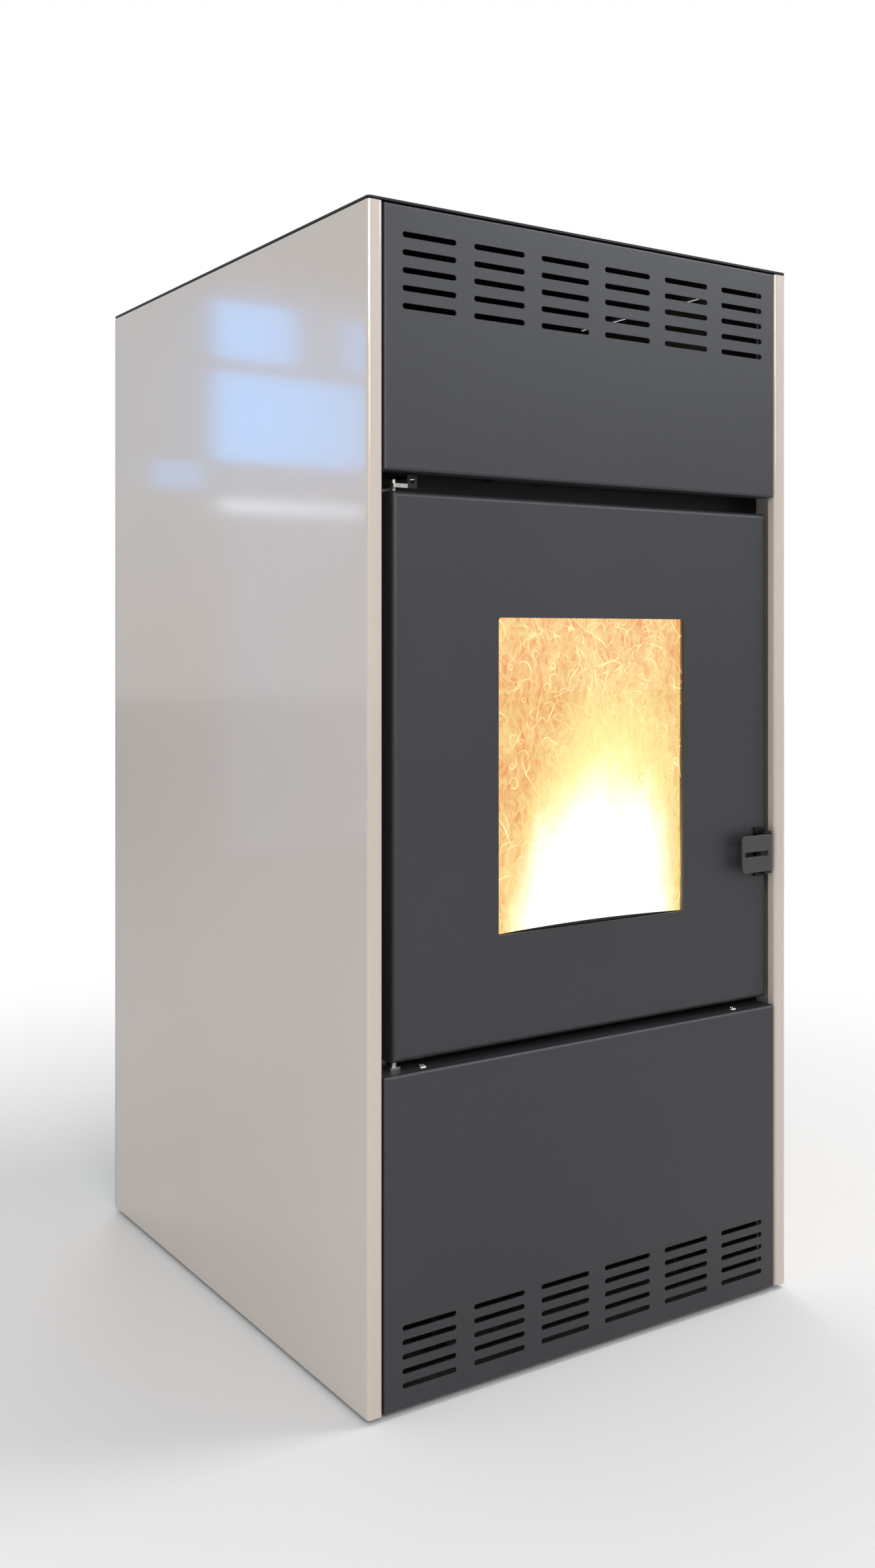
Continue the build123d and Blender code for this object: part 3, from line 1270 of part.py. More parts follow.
bezel_z = (cover_high, cover_high + control_bezel)
box_x = around(control_x, control_box_half[0])
box_y = around(control_y, control_box_half[1])
box_z = (cover_high - control_box_height, cover_high)
display_x = around(control_x, display_width / 2)
display_y = around(control_y + display_shift, display_depth / 2)
button_places = [(control_x + (i - 1.5) * button_pitch, control_y + button_shift) for i in range(4)]
button_names = ["power_button", "set_button", "minus_button", "plus_button"]
button_hole = button_radius + 0.1
with BuildPart() as control_panel:
    block(around(control_x, control_width / 2), around(control_y, control_depth / 2), bezel_z)
    fillet(control_panel.edges().filter_by(Axis.Z), 4)
    block(box_x, box_y, box_z)
    hollow_z = (box_z[0] + control_wall, bezel_z[0])
    block(inside(box_x, control_wall), inside(box_y, control_wall), hollow_z, mode=Mode.SUBTRACT)
    display_pocket = (bezel_z[1] - display_thickness - 0.2, bezel_z[1])
    block(inside(display_x, -0.2), inside(display_y, -0.2), display_pocket, mode=Mode.SUBTRACT)
    for x, y in button_places:
        rod((x, y, bezel_z[0]), (0, 0, 1), button_hole, control_bezel, Mode.SUBTRACT)
keep(control_panel, "control_panel")

with BuildPart() as display_window:
    block(display_x, display_y, (bezel_z[1] - display_thickness, bezel_z[1]))
keep(display_window, "display_window")

with BuildPart() as display_board:
    board_top = bezel_z[0] - board_drop
    board_x = inside(box_x, control_wall + fit_gap)
    board_y = inside(box_y, control_wall + fit_gap)
    block(board_x, board_y, (board_top - board_thickness, board_top))
    post_height = board_drop - button_flange - button_travel - 2 * fit_gap
    for x, y in button_places:
        rod((x, y, board_top), (0, 0, 1), button_radius / 2, post_height)
keep(display_board, "display_board")

for name, (x, y) in zip(button_names, button_places):
    with BuildPart() as button:
        button_low = bezel_z[0] - fit_gap
        button_top = bezel_z[1] + button_proud
        rod((x, y, button_low), (0, 0, 1), button_radius, button_top - button_low)
        fillet(button.faces().sort_by(Axis.Z)[-1].edges(), 1)
        rod((x, y, button_low), (0, 0, -1), button_radius + button_flange, button_flange)
    keep(button, name)

# ======== rear panel and what it carries ========

rear_inner = rear_y - panel_sheet
unit_z = (up(unit_low), up(unit_low + unit_height))
with BuildPart() as control_unit:
    block(around(half_width - unit_inset, unit_half), (rear_inner - unit_depth, rear_inner), unit_z)
    fillet(control_unit.edges().filter_by(Axis.Y), 5)
    fillet(control_unit.faces().sort_by(Axis.Y)[0].edges(), 2)
keep(control_unit, "control_unit")

inlet_z = (up(inlet_low), up(inlet_low + inlet_height))
body_half = inlet_width / 2 - 3
body_z = inside(inlet_z, 3)
socket_z = body_z[0] + 3 + socket_height / 2
rocker_centre = (inlet_x, rear_y - 1, body_z[1] - 3 - rocker_radius * 1.2)
pocket_half = rocker_width / 2 + rocker_gap
with BuildPart() as power_inlet:
    block(around(inlet_x, inlet_width / 2), (rear_y, rear_y + inlet_flange), inlet_z)
    fillet(power_inlet.edges().filter_by(Axis.Y), 3)
    block(around(inlet_x, body_half), (rear_y - inlet_body, rear_y), body_z)
    socket_y = (rear_y + inlet_flange - socket_depth, rear_y + inlet_flange)
    socket_x = around(inlet_x, socket_width / 2)
    block(socket_x, socket_y, around(socket_z, socket_height / 2), mode=Mode.SUBTRACT)
    for shift in (-1, 0, 1):
        contact_x = around(inlet_x + shift * 7, 1)
        contact_z = around(socket_z - 2 + 4 * abs(shift), 2)
        block(contact_x, (socket_y[0], socket_y[0] + contact_length), contact_z)
    start = (inlet_x - pocket_half, rocker_centre[1], rocker_centre[2])
    rod(start, (1, 0, 0), rocker_radius + rocker_gap, 2 * pocket_half, Mode.SUBTRACT)
keep(power_inlet, "power_inlet")

with BuildPart() as switch_rocker:
    start = (inlet_x - rocker_width / 2, rocker_centre[1], rocker_centre[2])
    rod(start, (1, 0, 0), rocker_radius, rocker_width)
    for side, tilt in ((1, 2 * rocker_tilt), (-1, 0)):
        cut_plane = Plane(
            origin=(inlet_x, rocker_centre[1] + rocker_cut, rocker_centre[2]),
            x_dir=(1, 0, 0),
            z_dir=(0, cos(radians(tilt)), side * sin(radians(tilt))),
        )
        with BuildSketch(cut_plane) as half_plane:
            with Locations((0, side * rocker_radius)):
                Rectangle(2 * rocker_width, 2 * rocker_radius)
        extrude(half_plane.sketch, amount=2 * rocker_radius, mode=Mode.SUBTRACT)
keep(switch_rocker, "switch_rocker")

cap_z = up(cap_height)
cap_stem = 4.0
with BuildPart() as thermostat_cap:
    rod((cap_x, rear_y, cap_z), (0, 1, 0), cap_radius, cap_length)
    fillet(thermostat_cap.faces().sort_by(Axis.Y)[-1].edges(), 1.5)
    rod((cap_x, rear_y, cap_z), (0, -1, 0), cap_stem, cap_length)
keep(thermostat_cap, "thermostat_cap")

rear_z = (up(0) + 2, cover_low - 1)
vent_x = sum(trunk_x) / 2
with BuildPart() as rear_panel:
    block(around(0, half_width - 1), (rear_inner, rear_y), rear_z)
    through = panel_sheet + 2
    stub_hole = stub_radius + rear_hole_gap
    rod((stub_x, rear_inner - 1, stub_z), (0, 1, 0), stub_hole, through, Mode.SUBTRACT)
    intake_hole = intake_radius + rear_hole_gap
    rod((intake_x, rear_inner - 1, intake_z), (0, 1, 0), intake_hole, through, Mode.SUBTRACT)
    rod((cap_x, rear_inner - 1, cap_z), (0, 1, 0), cap_stem + fit_gap, through, Mode.SUBTRACT)
    hole_z = inside(body_z, -fit_gap)
    block(around(inlet_x, body_half + fit_gap), (rear_inner, rear_y), hole_z, mode=Mode.SUBTRACT)
    for x, z in rear_screws:
        rod((x, rear_inner - 1, z), (0, 1, 0), screw_hole, through, Mode.SUBTRACT)
    with BuildSketch(Plane.XZ.offset(-rear_y)):
        with Locations((vent_x, up(vent_middle))):
            with GridLocations(vent_length + vent_pitch, vent_pitch, 1, vent_rows):
                SlotOverall(vent_length, vent_width)
    extrude(amount=through, both=True, mode=Mode.SUBTRACT)
keep(rear_panel, "rear_panel")
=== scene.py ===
import json
import math

import bpy
import numpy as np
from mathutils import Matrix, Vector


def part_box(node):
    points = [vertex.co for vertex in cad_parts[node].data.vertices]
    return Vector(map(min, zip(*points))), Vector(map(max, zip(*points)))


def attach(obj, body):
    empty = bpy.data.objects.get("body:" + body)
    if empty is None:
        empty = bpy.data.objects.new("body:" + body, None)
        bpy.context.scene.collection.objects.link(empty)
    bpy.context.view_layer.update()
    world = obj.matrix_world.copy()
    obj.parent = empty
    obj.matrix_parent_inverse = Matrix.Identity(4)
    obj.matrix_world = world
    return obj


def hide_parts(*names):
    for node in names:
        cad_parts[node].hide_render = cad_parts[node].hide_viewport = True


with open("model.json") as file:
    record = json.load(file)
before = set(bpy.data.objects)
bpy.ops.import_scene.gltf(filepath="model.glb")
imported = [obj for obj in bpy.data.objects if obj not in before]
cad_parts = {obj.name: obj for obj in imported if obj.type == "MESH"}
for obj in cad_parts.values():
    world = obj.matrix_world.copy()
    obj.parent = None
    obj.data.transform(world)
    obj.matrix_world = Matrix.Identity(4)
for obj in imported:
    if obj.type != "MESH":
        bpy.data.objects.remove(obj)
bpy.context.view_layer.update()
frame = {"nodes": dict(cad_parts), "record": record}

print("frame loaded")

# where things stand, read from the fixed frame, in metres
potLow, potHigh = (np.array(corner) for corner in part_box("burn_pot"))
hopperLow, hopperHigh = (np.array(corner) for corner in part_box("hopper"))
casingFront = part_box("left_side_panel")[0][1]

plainWhite = (1.0, 1.0, 1.0, 1.0)
plainBlack = (0.0, 0.0, 0.0, 1.0)


def srgb(red, green, blue):
    # a colour as 0 to 255 screen values, turned to linear light
    share = np.array([red, green, blue]) / 255
    linear = np.where(share <= 0.04045, share / 12.92, ((share + 0.055) / 1.055) ** 2.4)
    return (*linear.tolist(), 1.0)


class Wire:
    # one shader socket; operators between wires and numbers add Math nodes
    def __init__(self, tree, socket=None):
        self.tree = tree
        self.socket = socket

    def node(self, kind, settings, sockets, output=0):
        # adds a node: settings first, then a value or a link for each socket
        made = self.tree.nodes.new("ShaderNode" + kind)
        for name, value in settings.items():
            setattr(made, name, value)
        for name, value in sockets.items():
            if isinstance(value, Wire):
                self.tree.links.new(value.socket, made.inputs[name])
            else:
                made.inputs[name].default_value = value
        return Wire(self.tree, made.outputs[output])

    def math(self, operation, *values):
        return self.node("Math", {"operation": operation}, dict(enumerate(values)))

    def __add__(self, other):
        return self.math("ADD", self, other)

    def __radd__(self, other):
        return self.math("ADD", other, self)

    def __sub__(self, other):
        return self.math("SUBTRACT", self, other)

    def __rsub__(self, other):
        return self.math("SUBTRACT", other, self)

    def __mul__(self, other):
        return self.math("MULTIPLY", self, other)

    def __rmul__(self, other):
        return self.math("MULTIPLY", other, self)

    def __truediv__(self, other):
        return self.math("DIVIDE", self, other)

    def __rtruediv__(self, other):
        return self.math("DIVIDE", other, self)

    def __pow__(self, other):
        return self.math("POWER", self, other)

    def __rpow__(self, other):
        return self.math("POWER", other, self)

    def clamped(self):
        return self.node("Clamp", {}, {"Value": self})

    def sine(self):
        return self.math("SINE", self)

    def size(self):
        return self.math("ABSOLUTE", self)

    def above(self, other):
        # the greater of the two
        return self.math("MAXIMUM", self, other)

    def between(self, low, high):
        # 0 below low, 1 above high, a smooth rise between them
        places = {"Value": self, "From Min": low, "From Max": high, "To Min": 0.0, "To Max": 1.0}
        return self.node("MapRange", {"interpolation_type": "SMOOTHSTEP"}, places)

    def ridge(self, middle, steepness):
        # 1 - |wire - middle| * steepness, not below 0: thin curved lines in a noise
        return (1 - ((self - middle) * steepness).size()).clamped()

    def coords(self):
        # the object's own coordinates
        return self.node("TexCoord", {}, {}, "Object")

    def parts(self, *axes):
        # a vector's parts as wires, 0 for x, 1 for y and 2 for z
        return [self.node("SeparateXYZ", {}, {"Vector": self}, axis) for axis in axes]

    def stretched(self, scale):
        return self.node("Mapping", {"vector_type": "POINT"}, {"Vector": self, "Scale": scale})

    def noise(self, scale, detail=3.0, roughness=0.55, output="Fac"):
        values = {"Vector": self, "Scale": scale, "Detail": detail, "Roughness": roughness}
        return self.node("TexNoise", {}, values, output)

    def bent(self, scale, reach):
        # these coordinates pushed about by a smooth random field, by up to half of reach
        push = self.noise(scale, 2.0, 0.5, "Color")
        middle = self.node("VectorMath", {"operation": "SUBTRACT"}, {0: push, 1: (0.5, 0.5, 0.5)})
        moved = self.node("VectorMath", {"operation": "SCALE"}, {0: middle, "Scale": reach})
        return self.node("VectorMath", {"operation": "ADD"}, {0: self, 1: moved})

    def cells(self, scale, output="Distance"):
        return self.node("TexVoronoi", {}, {"Vector": self, "Scale": scale}, output)

    def tint(self, low, high):
        # a colour between two, by this wire's value
        return self.node("Mix", {"data_type": "RGBA"}, {0: self, 6: low, 7: high}, 2)

    def bump(self, strength, depth):
        return self.node("Bump", {}, {"Strength": strength, "Distance": depth, "Height": self})


def startFinish(name, sockets):
    # a new material: constants go straight on the shader's own sockets
    material = bpy.data.materials.new(name)
    material.use_nodes = True
    shader = material.node_tree.nodes["Principled BSDF"]
    for socket, value in sockets.items():
        shader.inputs[socket].default_value = value
    return material, shader, Wire(material.node_tree)


def feed(shader, wire, socket):
    wire.tree.links.new(wire.socket, shader.inputs[socket])


def paintFinish(name, look):
    # sprayed paint: colour * (1 - contrast) to colour * (1 + contrast) by clouds and grain together,
    # roughness + roughSpread * (clouds + grain - 1), and a bump of grain + peelShare * orange peel
    material, shader, start = startFinish(name, look["sockets"])
    coords = start.coords()
    cloud = coords.noise(look["cloudScale"], look["cloudDetail"])
    grain = coords.noise(look["grainScale"], look["grainDetail"], look["grainRoughness"])
    peel = coords.noise(look["peelScale"], look["peelDetail"])
    dark, light = ([min(part * (1 + way * look["contrast"]), 1.0) for part in look["colour"][:3]] + [1.0]
                   for way in (-1, 1))
    speck = cloud * look["cloudShare"] + grain * (1 - look["cloudShare"])
    feed(shader, speck.between(*look["speckSpan"]).tint(dark, light), "Base Color")
    rough = (cloud + grain - 1) * look["roughSpread"] + look["roughness"]
    feed(shader, rough.clamped(), "Roughness")
    height = grain + peel * look["peelShare"]
    feed(shader, height.bump(look["bump"], look["depth"]), "Normal")
    return material


def metalFinish(name, look):
    # bare or plated metal: dark to light by half brushed lines and half stains, rougher where either is
    # strong, with a bump of lines + stainBump * stains
    material, shader, start = startFinish(name, {"Metallic": 1.0})
    coords = start.coords()
    brushed = coords.stretched(look["stretch"])
    lines = brushed.noise(look["lineScale"], look["lineDetail"], look["lineRoughness"])
    stain = coords.noise(look["stainScale"], look["stainDetail"])
    speck = (lines * 0.5 + stain * 0.5).between(*look["speckSpan"])
    feed(shader, speck.tint(look["dark"], look["light"]), "Base Color")
    rough = lines * look["lineGloss"] + stain * look["stainGloss"] + (look["roughness"] - look["middleGloss"])
    feed(shader, rough.clamped(), "Roughness")
    feed(shader, (lines + stain * look["stainBump"]).bump(look["bump"], look["depth"]), "Normal")
    return material


def castFinish(name, look):
    # cast or pressed surfaces: dark to light by patches and grain, roughness + grainGloss * (grain - 1/2),
    # and a bump of grain + pitShare * distance to the nearest pit
    material, shader, start = startFinish(name, look["sockets"])
    coords = start.coords()
    patch = coords.noise(look["patchScale"], look["patchDetail"], look["patchRoughness"])
    pits = coords.cells(look["pitScale"])
    grain = coords.noise(look["pitScale"] * look["grainRatio"], look["grainDetail"], look["grainRoughness"])
    speck = (patch * look["patchShare"] + grain * (1 - look["patchShare"])).between(*look["speckSpan"])
    feed(shader, speck.tint(look["dark"], look["light"]), "Base Color")
    rough = grain * look["grainGloss"] + (look["roughness"] - look["grainGloss"] / 2)
    feed(shader, rough.clamped(), "Roughness")
    feed(shader, (grain + pits * look["pitShare"]).bump(look["bump"], look["depth"]), "Normal")
    return material


def spangleFinish(name, look):
    # galvanised sheet: dark to light by the random shade of each crystal field and by soft upright streaks,
    # which also add to the roughness and to the bump
    material, shader, start = startFinish(name, look["sockets"])
    coords = start.coords()
    field = coords.bent(*look["bend"]).cells(look["spangleScale"], "Color")
    shade = field.node("SeparateColor", {}, {"Color": field}, 0)
    streak = coords.stretched(look["stretch"]).noise(*look["streak"])
    speck = shade * look["shadeShare"] + streak * (1 - look["shadeShare"])
    feed(shader, speck.tint(look["dark"], look["light"]), "Base Color")
    rough = shade * look["shadeGloss"] + streak * look["streakGloss"] + look["roughness"]
    feed(shader, rough.clamped(), "Roughness")
    feed(shader, (shade * look["shadeBump"] + streak).bump(look["bump"], look["depth"]), "Normal")
    return material


finishes = {}

# what all paints share
paintBase = {"cloudDetail": 4.0, "grainDetail": 2.0, "grainRoughness": 0.6, "peelDetail": 2.0,
             "cloudShare": 0.6, "speckSpan": (0.3, 0.7), "sockets": {}}

sideEnamel = dict(paintBase, colour=srgb(201, 188, 177), contrast=0.025, cloudScale=3.0, grainScale=900.0,
                  roughness=0.34, roughSpread=0.04, peelScale=55.0, peelShare=2.0, bump=0.05, depth=0.0004,
                  sockets={"Coat Weight": 1.0, "Coat Roughness": 0.085, "Coat IOR": 1.55})
finishes["side_enamel"] = paintFinish("sideEnamel", sideEnamel)

frontPaint = dict(paintBase, colour=srgb(46, 46, 50), contrast=0.07, cloudScale=6.0, grainScale=1500.0,
                  roughness=0.44, roughSpread=0.08, peelScale=420.0, peelShare=0.8, bump=0.3, depth=0.0003,
                  sockets={"Specular IOR Level": 0.5})
finishes["front_paint"] = paintFinish("frontPaint", frontPaint)

blackPaint = dict(paintBase, colour=srgb(17, 17, 19), contrast=0.12, cloudScale=9.0, grainScale=1400.0,
                  roughness=0.5, roughSpread=0.08, peelScale=380.0, peelShare=0.8, bump=0.3, depth=0.0003,
                  sockets={"Specular IOR Level": 0.3})
finishes["black_paint"] = paintFinish("blackPaint", blackPaint)

fireboxPaint = dict(paintBase, colour=srgb(42, 40, 39), contrast=0.25, cloudScale=14.0, grainScale=900.0,
                    roughness=0.7, roughSpread=0.1, peelScale=200.0, peelShare=1.0, bump=0.4, depth=0.0004)
finishes["firebox_steel"] = paintFinish("fireboxPaint", fireboxPaint)

motorPaint = dict(paintBase, colour=srgb(48, 49, 52), contrast=0.15, cloudScale=30.0, grainScale=1200.0,
                  roughness=0.42, roughSpread=0.06, peelScale=300.0, peelShare=0.6, bump=0.25, depth=0.0003)
finishes["motor_can"] = paintFinish("motorPaint", motorPaint)

blackPlastic = dict(paintBase, colour=srgb(28, 28, 30), contrast=0.1, cloudScale=20.0, grainScale=2200.0,
                    roughness=0.44, roughSpread=0.05, peelScale=900.0, peelShare=0.6, bump=0.25, depth=0.0002)
finishes["black_plastic"] = paintFinish("blackPlastic", blackPlastic)

buttonPlastic = dict(blackPlastic, colour=srgb(125, 126, 130), contrast=0.05)
finishes["button_plastic"] = paintFinish("buttonPlastic", buttonPlastic)

displayLens = dict(blackPlastic, colour=srgb(8, 9, 11), roughness=0.1, roughSpread=0.02, bump=0.02)
finishes["display_lens"] = paintFinish("displayLens", displayLens)

circuitBoard = dict(blackPlastic, colour=srgb(22, 84, 48), contrast=0.3, cloudScale=160.0)
finishes["circuit_board"] = paintFinish("circuitBoard", circuitBoard)

sealRubber = dict(blackPlastic, colour=srgb(34, 33, 33), roughness=0.62, bump=0.35)
finishes["seal_rubber"] = paintFinish("sealRubber", sealRubber)

latchPaint = dict(frontPaint, colour=srgb(54, 53, 55), contrast=0.1, cloudScale=60.0, roughness=0.4,
                  sockets={"Specular IOR Level": 0.6})
finishes["latch_steel"] = paintFinish("latchPaint", latchPaint)

# what all bare metals share
metalBase = {"lineDetail": 3.0, "lineRoughness": 0.7, "stainDetail": 5.0, "speckSpan": (0.32, 0.68),
             "lineGloss": 0.15, "stainGloss": 0.2, "middleGloss": 0.17, "stainBump": 0.5, "depth": 0.0002}

zincPlate = dict(metalBase, dark=srgb(150, 148, 142), light=srgb(214, 212, 206), stretch=(1.0, 1.0, 0.15),
                 lineScale=900.0, stainScale=60.0, roughness=0.3, bump=0.15)
finishes["zinc_plate"] = metalFinish("zincPlate", zincPlate)

rotorSteel = dict(metalBase, dark=srgb(108, 108, 108), light=srgb(168, 167, 164), stretch=(1.0, 1.0, 0.3),
                  lineScale=500.0, stainScale=40.0, roughness=0.42, bump=0.2)
finishes["rotor_steel"] = metalFinish("rotorSteel", rotorSteel)

heaterSteel = dict(metalBase, dark=srgb(96, 84, 70), light=srgb(158, 138, 110), stretch=(1.0, 0.1, 1.0),
                   lineScale=600.0, stainScale=50.0, roughness=0.36, bump=0.12)
finishes["heater_steel"] = metalFinish("heaterSteel", heaterSteel)

# what cast iron and pressed board share
castBase = {"patchDetail": 5.0, "patchRoughness": 0.65, "grainRatio": 1.7, "grainDetail": 3.0,
            "grainRoughness": 0.7, "patchShare": 0.7, "speckSpan": (0.3, 0.7), "grainGloss": 0.2,
            "pitShare": 0.6, "sockets": {}}

castIron = dict(castBase, dark=srgb(30, 29, 28), light=srgb(70, 66, 62), patchScale=22.0, pitScale=650.0,
                roughness=0.72, bump=0.7, depth=0.0008, sockets={"Metallic": 0.25})
finishes["cast_iron"] = castFinish("castIron", castIron)

fireboard = dict(castBase, dark=srgb(96, 82, 66), light=srgb(186, 168, 138), patchScale=9.0, pitScale=420.0,
                 roughness=0.88, bump=0.8, depth=0.001)
finishes["fireboard"] = castFinish("fireboard", fireboard)

galvanisedSheet = {"dark": srgb(132, 136, 140), "light": srgb(190, 193, 195), "spangleScale": 70.0,
                   "bend": (18.0, 1.0), "stretch": (1.0, 1.0, 0.08), "streak": (40.0, 3.0), "shadeShare": 0.7,
                   "roughness": 0.3, "shadeGloss": 0.2, "streakGloss": 0.12, "shadeBump": 0.4, "bump": 0.15,
                   "depth": 0.0002, "sockets": {"Metallic": 0.9}}
finishes["galvanised_sheet"] = spangleFinish("galvanisedSheet", galvanisedSheet)

# painted shade: a black line over the glass's lower edge stands in for the dark gap there; its lengths are in
# metres
stoveGlassLook = {"smoke": srgb(251, 246, 236), "film": (14.0, 4.0), "filmSpan": (0.45, 0.75),
                  "hazeSpan": (0.5, 0.8), "haze": 0.01, "ripple": (9.0, 2.0), "bump": 0.02, "depth": 0.0005,
                  "gapShadeLevel": 0.4022, "gapShadeSag": 0.0028, "gapShadeMiddle": 0.01, "gapShadeReach": 0.11,
                  "gapShadeEdge": 0.0003, "sockets": {"Transmission Weight": 1.0, "IOR": 1.45}}


def stoveGlass(name, look):
    # clear glass ceramic with a faint smoke film and slight ripples, painted black as shade where z is below
    # level - sag * ((x - middle) / reach)^2, so the painted shade thins out to both ends
    material, shader, start = startFinish(name, look["sockets"])
    coords = start.coords()
    x, z = coords.parts(0, 2)
    film = coords.noise(*look["film"])
    clear = film.between(*look["filmSpan"]).tint(plainWhite, look["smoke"])
    # painted shade: below this sagging line the glass turns black, for the dark gap along its lower edge
    edge = look["gapShadeLevel"] - ((x - look["gapShadeMiddle"]) / look["gapShadeReach"]) ** 2 * look["gapShadeSag"]
    gapShade = (edge - z).between(-look["gapShadeEdge"], look["gapShadeEdge"])
    feed(shader, gapShade.tint(clear, plainBlack), "Base Color")
    feed(shader, (film.between(*look["hazeSpan"]) * look["haze"]).clamped(), "Roughness")
    feed(shader, coords.noise(*look["ripple"]).bump(look["bump"], look["depth"]), "Normal")
    return material


finishes["stove_glass"] = stoveGlass("stoveGlass", stoveGlassLook)

# threads along the rope and round it
glassFibre = {"colour": srgb(92, 88, 84), "valley": 0.45, "threads": (260.0, 3.0), "fuzz": (700.0, 3.0),
              "weaveShare": 0.35, "fuzzShare": 0.5, "lift": 0.2, "roughness": 0.85, "fuzzGloss": 0.1,
              "fuzzBump": 0.6, "bump": 0.8, "depth": 0.0006, "sockets": {"Sheen Weight": 0.3}}


def knitFinish(name, look):
    # knitted glass fibre: the greater of sin(a + b) and sin(a - b), where a and b count the threads along
    # the rope and round it by the piece's own UV map, with fuzz over it
    material, shader, start = startFinish(name, look["sockets"])
    spread = start.node("UVMap", {}, {})
    along, around = (part * (count * math.tau) for part, count in zip(spread.parts(0, 1), look["threads"]))
    weave = (along + around).sine().above((along - around).sine())
    fuzz = start.coords().noise(*look["fuzz"])
    dark = [part * look["valley"] for part in look["colour"][:3]] + [1.0]
    shade = weave * look["weaveShare"] + fuzz * look["fuzzShare"] + look["lift"]
    feed(shader, shade.clamped().tint(dark, look["colour"]), "Base Color")
    feed(shader, (fuzz * look["fuzzGloss"] + look["roughness"]).clamped(), "Roughness")
    feed(shader, (weave + fuzz * look["fuzzBump"]).bump(look["bump"], look["depth"]), "Normal")
    return material


finishes["glass_fibre"] = knitFinish("glassFibre", glassFibre)

slotOf = {entry["node"]: entry["material_slot"] for entry in frame["record"]["subparts"]}
for nodeName, cadObject in frame["nodes"].items():
    cadObject.data.materials.clear()
    cadObject.data.materials.append(finishes[slotOf[nodeName]])
print("finishes laid on", len(slotOf), "nodes")


def meshPiece(name, vertices, faces, finish, uv=None, smooth=True):
    # an object from arrays of points and quads, with one UV pair for each quad's corner
    mesh = bpy.data.meshes.new(name)
    mesh.from_pydata(vertices.tolist(), [], faces.tolist())
    if uv is not None:
        layer = mesh.uv_layers.new(name="UVMap")
        layer.data.foreach_set("uv", uv.astype(np.float32).ravel())
    mesh.polygons.foreach_set("use_smooth", np.full(len(faces), smooth))
    mesh.materials.append(finish)
    mesh.update()
    piece = bpy.data.objects.new(name, mesh)
    bpy.context.scene.collection.objects.link(piece)
    return piece


def surfaceFromGrid(name, points, finish, closed=False):
    # points is rows x columns x 3; neighbours are joined by quads, with a UV map of share along each way,
    # and a closed grid also joins its last row and column to the first
    rows, columns = points.shape[:2]
    rowCount, columnCount = (rows, columns) if closed else (rows - 1, columns - 1)
    i, j = np.meshgrid(np.arange(rowCount), np.arange(columnCount), indexing="ij")
    iNext = (i + 1) % rows
    jNext = (j + 1) % columns
    quads = np.stack([i * columns + j, i * columns + jNext, iNext * columns + jNext, iNext * columns + j], -1)
    corners = np.stack([np.stack([i, j], -1), np.stack([i, j + 1], -1), np.stack([i + 1, j + 1], -1),
                        np.stack([i + 1, j], -1)], -2).reshape(-1, 2)
    uv = corners / np.array([rowCount, columnCount])
    return meshPiece(name, points.reshape(-1, 3), quads.reshape(-1, 4), finish, uv)


def roundedLoop(half, corner, middle, count):
    # points of a rounded rectangle in a plane, evenly spaced: straight runs joined by quarter circles
    halfX, halfZ = half
    straightX, straightZ = 2 * (halfX - corner), 2 * (halfZ - corner)
    arc = corner * math.pi / 2
    total = 2 * straightX + 2 * straightZ + 4 * arc
    s = np.linspace(0, total, count, endpoint=False)
    points = np.zeros((count, 2))
    outward = np.zeros((count, 2))
    begin = 0.0
    # each leg: its direction, its length, its start and its way out
    legs = [((1, 0), straightX, (-halfX + corner, -halfZ), (0, -1)),
            ((0, 1), straightZ, (halfX, -halfZ + corner), (1, 0)),
            ((-1, 0), straightX, (halfX - corner, halfZ), (0, 1)),
            ((0, -1), straightZ, (-halfX, halfZ - corner), (-1, 0))]
    for way, length, start, out in legs:
        inRun = (s >= begin) & (s < begin + length)
        points[inRun] = np.array(start) + np.outer(s[inRun] - begin, way)
        outward[inRun] = out
        end = np.array(start) + length * np.array(way)
        begin += length
        inArc = (s >= begin) & (s < begin + arc)
        angle = (s[inArc] - begin) / corner
        centre = end - corner * np.array(out)
        turned = np.outer(np.cos(angle), out) + np.outer(np.sin(angle), way)
        points[inArc] = centre + corner * turned
        outward[inArc] = turned
        begin += arc
    return points + np.array(middle), outward


def ropeRing(name, nodeName, look, finish):
    # a flattened rope round a rounded rectangle: its section is sign(cos) * |cos|^squareness by
    # sign(sin) * |sin|^squareness, carried along the loop and narrowed by up to ridge, ridges times round
    low, high = (np.array(corner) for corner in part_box(nodeName))
    across, along = look["plane"]
    thick = ({0, 1, 2} - {across, along}).pop()
    inset = look["width"] / 2
    half = ((high[across] - low[across]) / 2 - inset, (high[along] - low[along]) / 2 - inset)
    middle = ((high[across] + low[across]) / 2, (high[along] + low[along]) / 2)
    loop, outward = roundedLoop(half, look["corner"], middle, look["steps"])
    turn = np.linspace(0, math.tau, look["sides"], endpoint=False)
    side, rise = (np.sign(wave) * np.abs(wave) ** look["squareness"] for wave in (np.cos(turn), np.sin(turn)))
    twist = look["ridges"] * math.tau * np.arange(look["steps"]) / look["steps"]
    ridge = 1 - look["ridge"] * (0.5 + 0.5 * np.sin(twist)[:, None])
    points = np.zeros((look["steps"], look["sides"], 3))
    points[:, :, across] = loop[:, None, 0] + outward[:, None, 0] * side * inset * ridge
    points[:, :, along] = loop[:, None, 1] + outward[:, None, 1] * side * inset * ridge
    points[:, :, thick] = (low[thick] + high[thick]) / 2 + rise * (high[thick] - low[thick]) / 2 * ridge
    return surfaceFromGrid(name, points, finish, closed=True)


# the plane is given by two axes, 0 for x, 1 for y and 2 for z; the lengths are in metres
doorRopeLook = {"plane": (0, 2), "width": 0.010, "corner": 0.010, "steps": 620, "sides": 20,
                "squareness": 0.7, "ridge": 0.05, "ridges": 155}
doorRope = ropeRing("doorRope", "door_rope_seal", doorRopeLook, finishes["glass_fibre"])
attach(doorRope, "door")
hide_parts("door_rope_seal")

